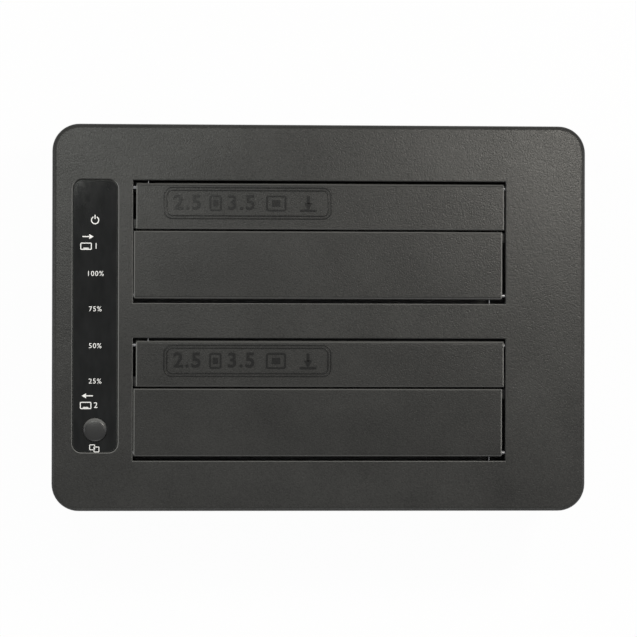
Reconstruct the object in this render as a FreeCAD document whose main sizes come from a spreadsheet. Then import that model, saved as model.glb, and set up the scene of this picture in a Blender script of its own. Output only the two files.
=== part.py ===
"""Two-bay hard disk docking and cloning station, as a parametric document.

Frame: X to the right, Y to the rear, Z up; the origin lies under the middle of the
case, on the plane that the rubber feet stand on. Millimetres and degrees.
"""
import FreeCAD, Part
import os
import re
from math import acos, cos, pi, sin

import Sketcher

# Driving dimensions: name, value, what it is.
SIZES = [
    ("case_width", 150.0, "housing, left to right"),
    ("case_depth", 108.5, "housing, front to rear"),
    ("case_height", 65.0, "top face above the table"),
    ("case_corner_radius", 7.6, "upright corners of the housing"),
    ("top_edge_radius", 1.3, "rounding round the top face"),
    ("bottom_edge_chamfer", 1.0, "bevel round the underside"),
    ("wall", 2.3, "moulded wall of both housing halves"),
    ("parting_height", 24.0, "joint between cover and base"),
    ("parting_groove", 0.5, "shadow groove at the joint"),
    ("lip_height", 2.0, "tongue of the base inside the cover"),
    ("lip_thickness", 1.0, "tongue of the base"),
    ("lip_play", 0.15, "tongue to cover"),
    ("foot_stand", 1.5, "foot that shows below the base"),
    ("foot_recess", 0.8, "seat of a foot in the base"),
    ("foot_radius", 6.0, "rubber foot"),
    ("foot_play", 0.15, "foot in its recess"),
    ("foot_inset_x", 20.0, "feet from the ends of the case"),
    ("foot_inset_y", 15.25, "feet from the front and rear of the case"),
    ("slot_width", 104.8, "slot in the cover, along X"),
    ("slot_depth", 34.4, "slot in the cover, along Y"),
    ("slot_pitch", 44.2, "rear slot to front slot"),
    ("rear_margin", 15.8, "rear face of the case to the rear slot"),
    ("slot_edge_radius", 0.3, "rounding of the slot rims"),
    ("flap_thickness", 1.8, "flap plate"),
    ("flap_drop", 0.1, "flap below the top face"),
    ("small_flap_depth", 12.8, "rear flap of a bay"),
    ("small_flap_gap", 0.8, "small flap to the rear slot rim"),
    ("large_flap_gap", 1.2, "large flap to the front slot rim"),
    ("flap_seam", 0.6, "between the two flaps of a bay"),
    ("small_near_gap", 0.9, "small flap to the rim at its spring"),
    ("small_far_gap", 0.45, "small flap to the rim, other end"),
    ("large_near_gap", 0.95, "large flap to the rim at its spring"),
    ("large_far_gap", 0.25, "large flap to the rim, other end"),
    ("flap_edge_chamfer", 0.3, "bevel round the flap plate"),
    ("flap_hinge_round", 0.8, "rounding of the edge beside the pin"),
    ("hinge_edge", 1.1, "pin axis to the edge of the flap"),
    ("pin_drop", 1.5, "pin axis below the flap's top"),
    ("pin_radius", 0.6, "steel hinge pin"),
    ("pin_play", 0.05, "pin in the flap's bore"),
    ("pin_seat_play", 0.02, "pin in its groove in the cover"),
    ("pin_seat", 1.0, "length of each pin end that the guide's rim holds"),
    ("barrel_radius", 1.1, "round hinge barrel of a flap"),
    ("flap_rib_drop", 1.95, "underside ribs reach below the pin axis"),
    ("flap_rib_thickness", 1.0, "ribs under the flap plate"),
    ("flap_rib_start", 1.8, "ribs begin this far from the pin axis"),
    ("flap_lip_drop", 1.2, "lip of the free edge below the pin axis"),
    ("tab_length", 2.6, "stop tab along the flap's end"),
    ("tab_inset", 0.2, "stop tab from the free edge"),
    ("tab_reach", 1.3, "stop tab under the cover"),
    ("tab_thickness", 1.2, "stop tab"),
    ("tab_play", 0.05, "stop tab below the cover's underside"),
    ("coil_radius", 0.9, "middle of the torsion spring's wire"),
    ("wire_radius", 0.175, "torsion spring wire"),
    ("leg_width", 0.33, "torsion spring legs"),
    ("coil_start", 3.2, "spring from the end of its flap"),
    ("fixed_leg", 4.6, "spring leg in the notch of the bay guide"),
    ("moving_leg", 6.4, "spring leg under the flap"),
    ("spring_room", 0.1, "free space round the coil"),
    ("pocket_side_room", 0.6, "free space beside the coil"),
    ("guide_wall", 1.6, "wall of a bay guide"),
    ("notch_depth", 0.5, "notch in the guide's rim for a spring leg"),
    ("well_side_room", 2.5, "flap well wider than the slot, each side"),
    ("well_relief", 0.6, "flap well deeper than the slot, each side"),
    ("well_floor_room", 2.5, "open large flap above the step"),
    ("flap_guide_step", 0.2, "drive wall stands proud of the open flap"),
    ("drive_width", 101.6, "3.5 inch drive"),
    ("drive_thickness", 26.1, "3.5 inch drive"),
    ("drive_side_room", 0.5, "drive to the well, each end"),
    ("drive_play", 0.7, "drive to the well, front and rear together"),
    ("drive_back_play", 0.3, "seated drive to the rear wall of the well"),
    ("connector_offset", 3.5, "drive's rear face to its connector tongue"),
    ("connector_start", -30.1, "power end of the drive's connector from the middle"),
    ("lead_in", 1.2, "chamfer round the mouth of the drive well"),
    ("guide_lift", 3.8, "guide floor above the main board"),
    ("ear_radius", 2.4, "screw ear and its post"),
    ("ear_thickness", 2.0, "screw ear"),
    ("ear_reach", 3.4, "outer ears from the guide's wall"),
    ("outer_ear_x", 30.0, "outer ears from the middle"),
    ("rear_mid_ear_x", 40.0, "rear guide's ears between the bays"),
    ("front_mid_ear_x", 26.0, "front guide's ears between the bays"),
    ("guide_post_length", 8.7, "posts for the bay guides"),
    ("small_screw_radius", 1.1, "self-tapping screw"),
    ("small_head_radius", 2.0, "self-tapping screw"),
    ("small_head_height", 1.5, "self-tapping screw"),
    ("small_screw_length", 6.5, "self-tapping screw"),
    ("thread_play", 0.05, "screw in its pilot hole"),
    ("clear_play", 0.25, "screw in its clearance hole"),
    ("window_width", 12.5, "status window"),
    ("window_length", 76.2, "status window"),
    ("window_radius", 2.5, "corners of the window"),
    ("window_edge_chamfer", 0.25, "bevel of the window's rim and its recess"),
    ("window_thickness", 1.3, "status window"),
    ("window_sink", 0.25, "window below the top face"),
    ("window_play", 0.12, "window in its recess"),
    ("window_ledge", 1.0, "ledge that carries the window"),
    ("window_inset", 12.1, "middle of the window from the left end of the case"),
    ("window_y", 0.4, "middle of the window"),
    ("button_inset", 6.2, "clone button from the front end of the window"),
    ("button_radius", 3.35, "clone button"),
    ("button_play", 0.2, "button in the window's hole"),
    ("button_stand", 0.55, "button above the top face"),
    ("button_bevel", 0.6, "bevel of the button's crown"),
    ("button_flange", 4.5, "radius of the flange under the window"),
    ("button_flange_height", 1.0, "flange under the window"),
    ("button_rest_gap", 0.05, "flange below the window"),
    ("button_stem", 1.6, "radius of the stem on the switch"),
    ("led_column_shift", 3.75, "drive lamps to the right of the others"),
    ("power_lamp_y", 31.5, "lamp under the power mark"),
    ("source_lamp_y", 21.4, "lamp beside the source mark"),
    ("target_lamp_y", -23.1, "lamp beside the target mark"),
    ("scale_top_y", 16.0, "first lamp of the scale"),
    ("scale_pitch", 10.1, "lamps of the scale"),
    ("lamp_width", 1.6, "status lamp"),
    ("lamp_height", 0.8, "status lamp"),
    ("light_hole_radius", 1.3, "light well over a lamp"),
    ("light_guide_width", 10.0, "block of light wells"),
    ("light_guide_gap", 0.3, "block of light wells below the cover"),
    ("panel_thickness", 1.6, "panel board"),
    ("panel_drop", 5.1, "panel board below the cover's underside"),
    ("panel_left", 9.4, "panel board left of the window's middle"),
    ("panel_right", 5.5, "panel board right of the window's middle"),
    ("panel_rear_margin", 2.0, "panel board to the cover's rear corner post"),
    ("panel_front_margin", 1.4, "panel board to the cover's front corner post"),
    ("panel_post_x", 7.6, "panel posts left of the window's middle"),
    ("panel_post_y", 27.0, "panel posts from the middle"),
    ("panel_post_radius", 1.7, "panel posts"),
    ("panel_screw_radius", 0.8, "panel screws"),
    ("panel_screw_length", 5.0, "panel screws"),
    ("panel_head_radius", 1.5, "panel screws"),
    ("panel_head_height", 1.1, "panel screws"),
    ("switch_width", 6.0, "tact switch"),
    ("switch_height", 3.1, "tact switch"),
    ("plunger_radius", 1.7, "tact switch plunger"),
    ("plunger_stand", 0.75, "plunger above the switch"),
    ("plunger_depth", 0.6, "plunger inside the switch"),
    ("plunger_travel", 0.5, "travel of button and plunger"),
    ("plunger_play", 0.05, "plunger in the switch"),
    ("standoff_height", 4.2, "board above the floor"),
    ("standoff_radius", 2.8, "board standoffs"),
    ("board_thickness", 1.6, "main board"),
    ("board_side_inset", 16.0, "main board from the ends of the case"),
    ("board_rear_inset", 3.25, "main board from the rear of the case"),
    ("board_front_inset", 10.25, "main board from the front of the case"),
    ("board_screw_inset_x", 5.0, "board screws from the board's ends"),
    ("board_screw_inset_y", 4.5, "board screws from the board's front and rear"),
    ("board_screw_length", 5.0, "board screws"),
    ("corner_screw_inset_x", 9.0, "housing screws from the ends of the case"),
    ("corner_screw_inset_y", 8.25, "housing screws from the front and rear"),
    ("boss_radius", 3.6, "screw bosses and posts"),
    ("boss_top", 22.0, "where base boss and cover post meet"),
    ("boss_web", 3.0, "floor of the screw well"),
    ("screw_well_radius", 3.0, "screw well from below"),
    ("housing_screw_radius", 1.5, "housing screw"),
    ("housing_screw_length", 14.0, "housing screw"),
    ("housing_head_radius", 2.7, "housing screw"),
    ("housing_head_height", 2.0, "housing screw"),
    ("receptacle_length", 37.0, "drive socket"),
    ("receptacle_width", 5.6, "drive socket"),
    ("receptacle_height", 9.3, "drive socket"),
    ("receptacle_slot_depth", 5.5, "drive socket"),
    ("power_tongue", 20.6, "power part of the drive's connector"),
    ("tongue_gap", 2.4, "between power and signal parts"),
    ("signal_tongue", 10.4, "signal part of the drive's connector"),
    ("tongue_slot", 2.0, "slot for the tongue"),
    ("tongue_play", 0.3, "slot longer than the tongue, each end"),
    ("key_slot", 1.4, "foot of the L-shaped slots"),
    ("contact_pitch", 1.27, "contacts of the drive socket"),
    ("contact_width", 0.6, "contacts of the drive socket"),
    ("contact_depth", 0.3, "contacts stand off the slot wall"),
    ("contact_height", 4.0, "contacts of the drive socket"),
    ("cutout_room", 0.5, "guide floor round the drive socket"),
    ("port_recess", 0.3, "ports behind the rear face"),
    ("port_room", 0.2, "rear wall round the ports"),
    ("usb_x", 0.0, "USB type B port"),
    ("usb_width", 12.1, "USB type B port"),
    ("usb_height", 13.1, "USB type B port"),
    ("usb_depth", 15.5, "USB type B port"),
    ("usb_sheet", 0.35, "metal shell of the port"),
    ("usb_lower_width", 8.9, "opening of the port"),
    ("usb_lower_height", 7.9, "opening of the port"),
    ("usb_upper_width", 6.1, "opening of the port"),
    ("usb_upper_height", 2.6, "opening of the port"),
    ("usb_opening_depth", 9.6, "opening of the port"),
    ("usb_tongue_width", 5.6, "contact tongue"),
    ("usb_tongue_height", 3.2, "contact tongue"),
    ("usb_tongue_recess", 1.2, "contact tongue behind the opening"),
    ("jack_x", 30.0, "power inlet"),
    ("jack_width", 9.0, "power inlet"),
    ("jack_height", 11.0, "power inlet"),
    ("jack_depth", 14.4, "power inlet"),
    ("jack_axis", 6.5, "inlet axis above the board"),
    ("jack_bore", 3.15, "inlet bore radius"),
    ("jack_bore_depth", 9.5, "inlet bore"),
    ("jack_pin", 1.05, "inlet centre pin radius"),
    ("jack_pin_recess", 1.0, "centre pin behind the inlet's face"),
    ("rocker_x", -30.0, "power switch"),
    ("rocker_z", 17.0, "middle of the power switch"),
    ("rocker_body_width", 13.2, "power switch"),
    ("rocker_body_height", 9.4, "power switch"),
    ("rocker_body_depth", 11.8, "power switch"),
    ("rocker_cavity_depth", 5.4, "power switch"),
    ("rocker_foot_depth", 8.0, "part of the switch that stands on the board"),
    ("rocker_half_length", 5.2, "rocker key"),
    ("rocker_key_height", 7.6, "rocker key"),
    ("rocker_pivot_depth", 1.6, "pivot behind the face of the switch"),
    ("rocker_tail", 1.3, "rocker behind its pivot"),
    ("rocker_low_face", 0.3, "pressed half behind the face of the switch"),
    ("rocker_swing", 16.0, "degrees between off and on"),
    ("rocker_side_room", 0.35, "rocker in the switch, above and below"),
    ("rocker_end_room", 0.65, "rocker in the switch, left and right"),
    ("rocker_stub_radius", 0.7, "pivot stubs"),
    ("rocker_stub_length", 0.5, "pivot stubs"),
    ("rocker_stub_play", 0.05, "pivot stubs in the switch"),
    ("controller_x", 29.0, "controller"),
    ("controller_y", 22.0, "controller"),
    ("chip_width", 14.0, "controller"),
    ("chip_height", 1.4, "controller"),
    ("chip_chamfer", 0.3, "controller"),
    ("memory_length", 5.2, "memory chip"),
    ("memory_width", 4.0, "memory chip"),
    ("crystal_length", 5.0, "crystal"),
    ("crystal_width", 3.2, "crystal"),
    ("crystal_height", 1.1, "crystal"),
    ("capacitor_radius", 4.0, "electrolytic capacitors"),
    ("capacitor_height", 11.0, "electrolytic capacitors"),
    ("first_capacitor_x", -20.0, "electrolytic capacitors"),
    ("capacitor_pitch", 11.0, "electrolytic capacitors"),
    ("first_inductor_x", 16.0, "inductors"),
    ("inductor_pitch", 11.0, "inductors"),
    ("inductor_width", 7.0, "inductors"),
    ("inductor_height", 4.0, "inductors"),
    ("header_width", 10.0, "ribbon headers, along Y"),
    ("header_thickness", 5.0, "ribbon headers, along X"),
    ("header_height", 6.0, "ribbon headers"),
    ("header_inset", 3.0, "main board header from the board's end"),
    ("panel_header_shift", 2.4, "panel board header right of the window's middle"),
    ("ribbon_width", 7.6, "ribbon lead"),
    ("ribbon_thickness", 1.0, "ribbon lead"),
    ("ribbon_bend", 30.0, "bends of the ribbon lead, radius"),
    ("vent_length", 22.0, "vent slots in the base"),
    ("vent_width", 2.4, "vent slots in the base"),
    ("vent_pitch", 5.2, "vent slots in the base"),
    ("vent_first_x", 19.0, "first vent slot from the middle"),
    ("vent_y", 20.0, "middle of each vent field"),
]
VENTS_PER_FIELD = 6
COIL_TURNS = 4
POWER_CONTACTS = 15
SIGNAL_CONTACTS = 7
SCALE_LAMPS = 4
FLAP_RIBS = 6
POST_SIDES = 8
SCREW_SIDES = 6
SEAT_SIDES = 12
CAPACITORS = 3
INDUCTORS = 2
TOLERANCE = 0.001
X_AXIS = FreeCAD.Vector(1, 0, 0)
Y_AXIS = FreeCAD.Vector(0, 1, 0)
Z_AXIS = FreeCAD.Vector(0, 0, 1)
BAYS = ("rear", "front")
LEFT_RIGHT = (-1, 1)

doc = FreeCAD.newDocument("drive_duplicator")
sheet = doc.addObject("Spreadsheet::Sheet", "Sizes")
for row, (alias, amount, note) in enumerate(SIZES, 1):
    sheet.set(f"A{row}", alias)
    sheet.set(f"B{row}", str(amount))
    sheet.set(f"C{row}", note)
    sheet.setAlias(f"B{row}", alias)
doc.recompute()

ALIASES = {alias for alias, amount, note in SIZES}
NODES = []

# Places that several pieces share, as formulas of the sheet.
UNDERSIDE = "(case_height - wall)"
FLOOR = "(foot_stand + wall)"
BOARD_BOTTOM = f"({FLOOR} + standoff_height)"
BOARD_TOP = f"({BOARD_BOTTOM} + board_thickness)"
HINGE_HEIGHT = "(case_height - flap_drop - pin_drop)"
LARGE_FLAP_DEPTH = (
    "(slot_depth - small_flap_gap - small_flap_depth - flap_seam - large_flap_gap)"
)
FLAP_WELL_HALF = "(slot_width / 2 + well_side_room)"
DRIVE_WELL_HALF = "(drive_width / 2 + drive_side_room)"
WELL_STEP = f"({HINGE_HEIGHT} - {LARGE_FLAP_DEPTH} + hinge_edge - well_floor_room)"
GUIDE_BOTTOM = f"({BOARD_TOP} + guide_lift)"
GUIDE_FLOOR = f"({GUIDE_BOTTOM} + guide_wall)"
EAR_TOP = f"({UNDERSIDE} - guide_post_length)"
PIN_HALF = f"({FLAP_WELL_HALF} + pin_seat)"
COIL_LENGTH = f"({COIL_TURNS} * 2 * wire_radius)"
WINDOW_TOP = "(case_height - window_sink)"
WINDOW_BOTTOM = f"({WINDOW_TOP} - window_thickness)"
PANEL_TOP = f"({UNDERSIDE} - panel_drop)"
PANEL_BOTTOM = f"({PANEL_TOP} - panel_thickness)"
SWITCH_TOP = f"({PANEL_TOP} + switch_height)"
PORT_FACE = "(case_depth / 2 - port_recess)"


def slot_rear(bay):
    """Rear rim of a bay's slot; bay 0 is the rear one, bay 1 the front one."""
    return f"(case_depth / 2 - rear_margin - {bay} * slot_pitch)"


def slot_front(bay):
    return f"({slot_rear(bay)} - slot_depth)"


def drive_rear(bay):
    """Rear wall of the drive well, just proud of the open small flap."""
    return f"({slot_rear(bay)} - small_flap_gap - hinge_edge - pin_drop - flap_guide_step)"


def drive_front(bay):
    return f"({drive_rear(bay)} - drive_thickness - drive_play)"


def socket_y(bay):
    """Middle of the drive socket's slots."""
    return f"({drive_rear(bay)} - drive_back_play - connector_offset)"


FOOT_X = "(case_width / 2 - foot_inset_x)"
FOOT_Y = "(case_depth / 2 - foot_inset_y)"
CORNER_X = "(case_width / 2 - corner_screw_inset_x)"
CORNER_Y = "(case_depth / 2 - corner_screw_inset_y)"
BOARD_SIDE = "(case_width / 2 - board_side_inset)"
BOARD_REAR = "(case_depth / 2 - board_rear_inset)"
BOARD_FRONT = "(board_front_inset - case_depth / 2)"
WINDOW_X = "(window_inset - case_width / 2)"
WINDOW_FRONT = "(window_y - window_length / 2)"
BUTTON_Y = f"({WINDOW_FRONT} + button_inset)"
PANEL_FRONT = f"(panel_front_margin + boss_radius - {CORNER_Y})"
PANEL_REAR = f"({CORNER_Y} - boss_radius - panel_rear_margin)"
MIDDLE_Y = f"(({slot_front(0)} + {slot_rear(1)}) / 2)"


def value(alias):
    """A size from the sheet as a number, for picking edges and plain shapes."""
    return float(sheet.get(alias))


def bind(thing, prop, formula):
    """Tie a property to the sheet: size names in the formula become sheet cells."""

    def cell(match):
        word = match.group(0)
        return f"Sizes.{word}" if word in ALIASES else word

    thing.setExpression(prop, re.sub(r"[a-z_]+", cell, str(formula)))


def place(thing, x="0", y="0", z="0"):
    for letter, formula in zip("xyz", (x, y, z)):
        bind(thing, f"Placement.Base.{letter}", formula)
    return thing


def around(middle, width):
    """Low and high end of a stretch that is centred on a place."""
    return (f"({middle} - {width} / 2)", f"({middle} + {width} / 2)")


def box(name, x, y, z):
    """A block; x, y and z are each a low and a high end."""
    block = doc.addObject("Part::Box", name)
    for prop, (low, high) in zip(("Length", "Width", "Height"), (x, y, z)):
        bind(block, prop, f"{high} - {low}")
    return place(block, x[0], y[0], z[0])


def cylinder(name, radius, middle, ends, axis="Z"):
    """A round bar along an axis; middle is its place across the axis."""
    bar = doc.addObject("Part::Cylinder", name)
    bind(bar, "Radius", radius)
    return lay_along(bar, middle, ends, axis)


def prism(name, sides, radius, middle, ends, axis="Z"):
    """A bar of many flats, for small repeated fixings; radius reaches its flats."""
    bar = doc.addObject("Part::Prism", name)
    bar.Polygon = sides
    bind(bar, "Circumradius", f"({radius}) / cos(180 / {sides})")
    return lay_along(bar, middle, ends, axis)


def lay_along(bar, middle, ends, axis):
    bind(bar, "Height", f"{ends[1]} - {ends[0]}")
    if axis == "X":
        bar.Placement = FreeCAD.Placement(FreeCAD.Vector(), FreeCAD.Rotation(Y_AXIS, 90))
        return place(bar, ends[0], middle[0], middle[1])
    if axis == "Y":
        bar.Placement = FreeCAD.Placement(FreeCAD.Vector(), FreeCAD.Rotation(X_AXIS, -90))
        return place(bar, middle[0], ends[0], middle[1])
    return place(bar, middle[0], middle[1], ends[0])


def join(name, pieces):
    fused = doc.addObject("Part::MultiFuse", name)
    fused.Shapes = pieces
    return fused


def carve(name, base, tools):
    cut = doc.addObject("Part::Cut", name)
    cut.Base = base
    cut.Tool = tools[0] if len(tools) == 1 else join(f"{name}_tools", tools)
    return cut


def group(name, pieces):
    """Several separate solids that share one node."""
    bundle = doc.addObject("Part::Compound", name)
    bundle.Links = pieces
    return bundle


def node(thing, label):
    """Mark a finished sub-part; its label names its file."""
    thing.Label = label
    NODES.append(thing)
    return thing


# Sketches and features of the moulded pieces.
def new_body(name):
    return doc.addObject("PartDesign::Body", name)


def new_sketch(body, offset):
    """A level sketch in a body, at a height."""
    sketch = body.newObject("Sketcher::SketchObject", f"{body.Name}_sketch")
    plane = next(item for item in body.Origin.OriginFeatures if item.Role == "XY_Plane")
    sketch.AttachmentSupport = (plane, "")
    sketch.MapMode = "FlatFace"
    bind(sketch, "AttachmentOffset.Base.z", offset)
    return sketch


def constrain(sketch, formula, *terms):
    """Add a dimension to a sketch and tie it to the sheet."""
    number = sketch.addConstraint(Sketcher.Constraint(*terms))
    bind(sketch, f"Constraints[{number}]", formula)


def draw_rectangle(sketch, across, up):
    """A rectangle from its low and high ends along the sketch's two directions."""
    first = sketch.GeometryCount
    corners = [FreeCAD.Vector(x, y, 0) for x, y in ((0, 0), (1, 0), (1, 1), (0, 1))]
    for side in range(4):
        sketch.addGeometry(Part.LineSegment(corners[side], corners[(side + 1) % 4]), False)
    for side in range(4):
        following = first + (side + 1) % 4
        sketch.addConstraint(Sketcher.Constraint("Coincident", first + side, 2, following, 1))
        direction = "Vertical" if side % 2 else "Horizontal"
        sketch.addConstraint(Sketcher.Constraint(direction, first + side))
    constrain(sketch, across[0], "DistanceX", -1, 1, first, 1, 0.5)
    constrain(sketch, up[0], "DistanceY", -1, 1, first, 1, 0.5)
    constrain(sketch, f"{across[1]} - {across[0]}", "DistanceX", first, 1, first, 2, 1.0)
    constrain(sketch, f"{up[1]} - {up[0]}", "DistanceY", first + 1, 1, first + 1, 2, 1.0)


def draw_rounded(sketch, across, up, radius):
    """A rectangle with round corners: four lines and four tangent arcs."""
    first = sketch.GeometryCount
    centres = ((9, 1), (9, 9), (1, 9), (1, 1))
    starts = ((1, 0), (10, 1), (9, 10), (0, 9))
    ends = ((9, 0), (10, 9), (1, 10), (0, 1))
    for side in range(4):
        line = Part.LineSegment(FreeCAD.Vector(*starts[side]), FreeCAD.Vector(*ends[side]))
        sketch.addGeometry(line, False)
        corner = Part.Circle(FreeCAD.Vector(*centres[side]), Z_AXIS, 1.0)
        quarter = (side - 1) * pi / 2
        sketch.addGeometry(Part.ArcOfCircle(corner, quarter, quarter + pi / 2), False)
    for side in range(4):
        line = first + 2 * side
        following = first + (2 * side + 2) % 8
        direction = "Vertical" if side % 2 else "Horizontal"
        sketch.addConstraint(Sketcher.Constraint(direction, line))
        sketch.addConstraint(Sketcher.Constraint("Tangent", line, 2, line + 1, 1))
        sketch.addConstraint(Sketcher.Constraint("Tangent", line + 1, 2, following, 1))
        if side:
            sketch.addConstraint(Sketcher.Constraint("Equal", first + 1, line + 1))
    constrain(sketch, radius, "Radius", first + 1, 1.0)
    constrain(sketch, across[0], "DistanceX", -1, 1, first + 6, 1, 0.5)
    constrain(sketch, up[0], "DistanceY", -1, 1, first, 1, 0.5)
    constrain(sketch, f"{across[1]} - {across[0]}", "DistanceX", first + 6, 1, first + 2, 1, 10.0)
    constrain(sketch, f"{up[1]} - {up[0]}", "DistanceY", first, 1, first + 4, 1, 10.0)


def draw_circle(sketch, radius, across="0", up="0"):
    number = sketch.GeometryCount
    start = FreeCAD.Vector(1, 1, 0)
    sketch.addGeometry(Part.Circle(start, Z_AXIS, 1.0), False)
    constrain(sketch, across, "DistanceX", -1, 1, number, 3, 0.5)
    constrain(sketch, up, "DistanceY", -1, 1, number, 3, 0.5)
    constrain(sketch, radius, "Radius", number, 2.0)


def pad(body, sketch, length):
    feature = body.newObject("PartDesign::Pad", f"{body.Name}_pad")
    feature.Profile = sketch
    bind(feature, "Length", length)
    return feature


def pocket(body, sketch, length, upwards=False):
    """Cut a sketch downwards, or upwards, into the body."""
    feature = body.newObject("PartDesign::Pocket", f"{body.Name}_pocket")
    feature.Profile = sketch
    feature.Reversed = upwards
    bind(feature, "Length", length)
    return feature


def pad_rectangle(body, across, up, ends):
    sketch = new_sketch(body, ends[0])
    draw_rectangle(sketch, across, up)
    return pad(body, sketch, f"{ends[1]} - {ends[0]}")


def pad_circle(body, radius, ends, across="0", up="0"):
    sketch = new_sketch(body, ends[0])
    draw_circle(sketch, radius, across, up)
    return pad(body, sketch, f"{ends[1]} - {ends[0]}")


def cut_rectangle(body, across, up, ends):
    """Cut a block between two levels, from the high one downwards."""
    sketch = new_sketch(body, ends[1])
    draw_rectangle(sketch, across, up)
    return pocket(body, sketch, f"{ends[1]} - {ends[0]}")


def dress(body, kind, names, prop, size):
    """A fillet or chamfer on the tip of a body."""
    base = body.Tip
    feature = body.newObject(f"PartDesign::{kind}", f"{body.Name}_{kind.lower()}")
    feature.Base = (base, names)
    bind(feature, prop, size)
    return feature


def edges_where(body, test):
    """Names of the tip's edges whose bounding box passes the test."""
    doc.recompute()
    edges = enumerate(body.Tip.Shape.Edges, 1)
    return [f"Edge{number}" for number, edge in edges if test(edge.BoundBox)]


def upright(bounds):
    return bounds.XLength < TOLERANCE and bounds.YLength < TOLERANCE


def at_height(height):
    """Test for edges that lie level at one height."""
    return lambda bounds: bounds.ZLength < TOLERANCE and abs(bounds.ZMin - height) < TOLERANCE


def rim_of(sketch):
    """Test for the edges that a sketch has cut into a body at the sketch's own level."""
    doc.recompute()
    outline = sketch.Shape.BoundBox
    outline.enlarge(TOLERANCE)
    return outline.isInside


def round_corners(body, radius):
    return dress(body, "Fillet", edges_where(body, upright), "Radius", radius)


def rounded_block(name, x, y, z, radius):
    """A block with rounded upright corners, ready for more features."""
    body = new_body(name)
    pad_rectangle(body, x, y, z)
    round_corners(body, radius)
    return body


def housing_shell(name, low, high, opened):
    """Half of the housing: a block with rounded corners, hollowed from its open face."""
    full = (around("0", "case_width"), around("0", "case_depth"))
    body = rounded_block(name, full[0], full[1], (low, high), "case_corner_radius")
    doc.recompute()
    base = body.Tip
    faces = enumerate(base.Shape.Faces, 1)
    open_face = [f"Face{n}" for n, face in faces if at_height(value(opened))(face.BoundBox)]
    hollow = body.newObject("PartDesign::Thickness", f"{name}_hollow")
    hollow.Base = (base, open_face)
    hollow.Reversed = True
    hollow.Join = 0
    bind(hollow, "Value", "wall")
    return body


def case_outline(sketch, inset):
    """The housing's plan outline, drawn in by an inset."""
    across = around("0", f"(case_width - 2 * {inset})")
    up = around("0", f"(case_depth - 2 * {inset})")
    draw_rounded(sketch, across, up, f"(case_corner_radius - {inset})")


def screws(label, radius, length, head_radius, head_height, spots, points_up):
    """Pan-head screws with their heads seated at z; one node for all of them."""
    made = []
    for number, (x, y, seat) in enumerate(spots):
        name = f"{label}_{number}"
        if points_up:
            shank_ends = (seat, f"({seat} + {length})")
            head_ends = (f"({seat} - {head_height})", seat)
        else:
            shank_ends = (f"({seat} - {length})", seat)
            head_ends = (seat, f"({seat} + {head_height})")
        shank = prism(f"{name}_shank", SCREW_SIDES, radius, (x, y), shank_ends)
        head = prism(f"{name}_head", POST_SIDES, head_radius, (x, y), head_ends)
        made.append(join(name, [shank, head]))
    return node(group(f"{label}_group", made), label)


# Where the screws go.
HOUSING_SCREWS = [
    (f"({sx} * {CORNER_X})", f"({sy} * {CORNER_Y})")
    for sx in LEFT_RIGHT
    for sy in LEFT_RIGHT
]
BOARD_SCREWS = [
    (f"({sx} * ({BOARD_SIDE} - board_screw_inset_x))", y)
    for sx in LEFT_RIGHT
    for y in (f"({BOARD_REAR} - board_screw_inset_y)", f"({BOARD_FRONT} + board_screw_inset_y)")
]
PANEL_SCREWS = [
    (f"({WINDOW_X} - panel_post_x)", f"({sy} * panel_post_y)") for sy in LEFT_RIGHT
]
BASE_MIDDLE = "(foot_stand + wall / 2)"
CONNECTOR_MIDDLE = "(connector_start + (power_tongue + tongue_gap + signal_tongue) / 2)"
FEET = {
    f"{end}_{hand}_foot": (f"({sx} * {FOOT_X})", f"({sy} * {FOOT_Y})")
    for end, sy in (("rear", 1), ("front", -1))
    for hand, sx in (("left", -1), ("right", 1))
}
USB_X = around("usb_x", "usb_width")
USB_Z = (BOARD_TOP, f"({BOARD_TOP} + usb_height)")
JACK_X = around("jack_x", "jack_width")
JACK_Z = (BOARD_TOP, f"({BOARD_TOP} + jack_height)")
ROCKER_X = around("rocker_x", "rocker_body_width")
ROCKER_Z = around("rocker_z", "rocker_body_height")
REAR_PORTS = (("usb", USB_X, USB_Z), ("jack", JACK_X, JACK_Z), ("switch", ROCKER_X, ROCKER_Z))

def guide_wall_y(bay, side):
    """Outer face of a bay guide's flap well, at its rear (1) or front (-1)."""
    rim = slot_rear(bay) if side > 0 else slot_front(bay)
    return f"({rim} + {side} * (well_relief + guide_wall))"


def ear_spots(bay):
    """Screw places of a bay guide, each with the side of the well that it is on."""
    outside = 1 if bay == 0 else -1
    outer_y = f"({guide_wall_y(bay, outside)} + {outside} * ear_reach)"
    middle_x = "rear_mid_ear_x" if bay == 0 else "front_mid_ear_x"
    spots = []
    for sx in LEFT_RIGHT:
        spots.append((f"({sx} * outer_ear_x)", outer_y, outside))
        spots.append((f"({sx} * {middle_x})", MIDDLE_Y, -outside))
    return spots


# The four flaps share one description; the large ones are turned half round.
FLAPS = {
    "small": {
        "depth": "small_flap_depth",
        "near": "small_near_gap",
        "far": "small_far_gap",
        "side": 1,
        "axis_y": lambda bay: f"({slot_rear(bay)} - small_flap_gap - hinge_edge)",
    },
    "large": {
        "depth": LARGE_FLAP_DEPTH,
        "near": "large_near_gap",
        "far": "large_far_gap",
        "side": -1,
        "axis_y": lambda bay: f"({slot_front(bay)} + large_flap_gap + hinge_edge)",
    },
}


def set_at_hinge(thing, kind, bay):
    """Put a piece that is drawn round its own pin axis at its place in the case."""
    turn = 0 if FLAPS[kind]["side"] > 0 else 180
    thing.Placement = FreeCAD.Placement(FreeCAD.Vector(), FreeCAD.Rotation(Z_AXIS, turn))
    return place(thing, "0", FLAPS[kind]["axis_y"](bay), HINGE_HEIGHT)


def coil_ends(kind):
    """The spring's stretch of the pin, from its fixed leg to its moving leg."""
    start = f"({FLAPS[kind]['near']} + coil_start - slot_width / 2)"
    return start, f"({start} + {COIL_LENGTH})"


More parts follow.
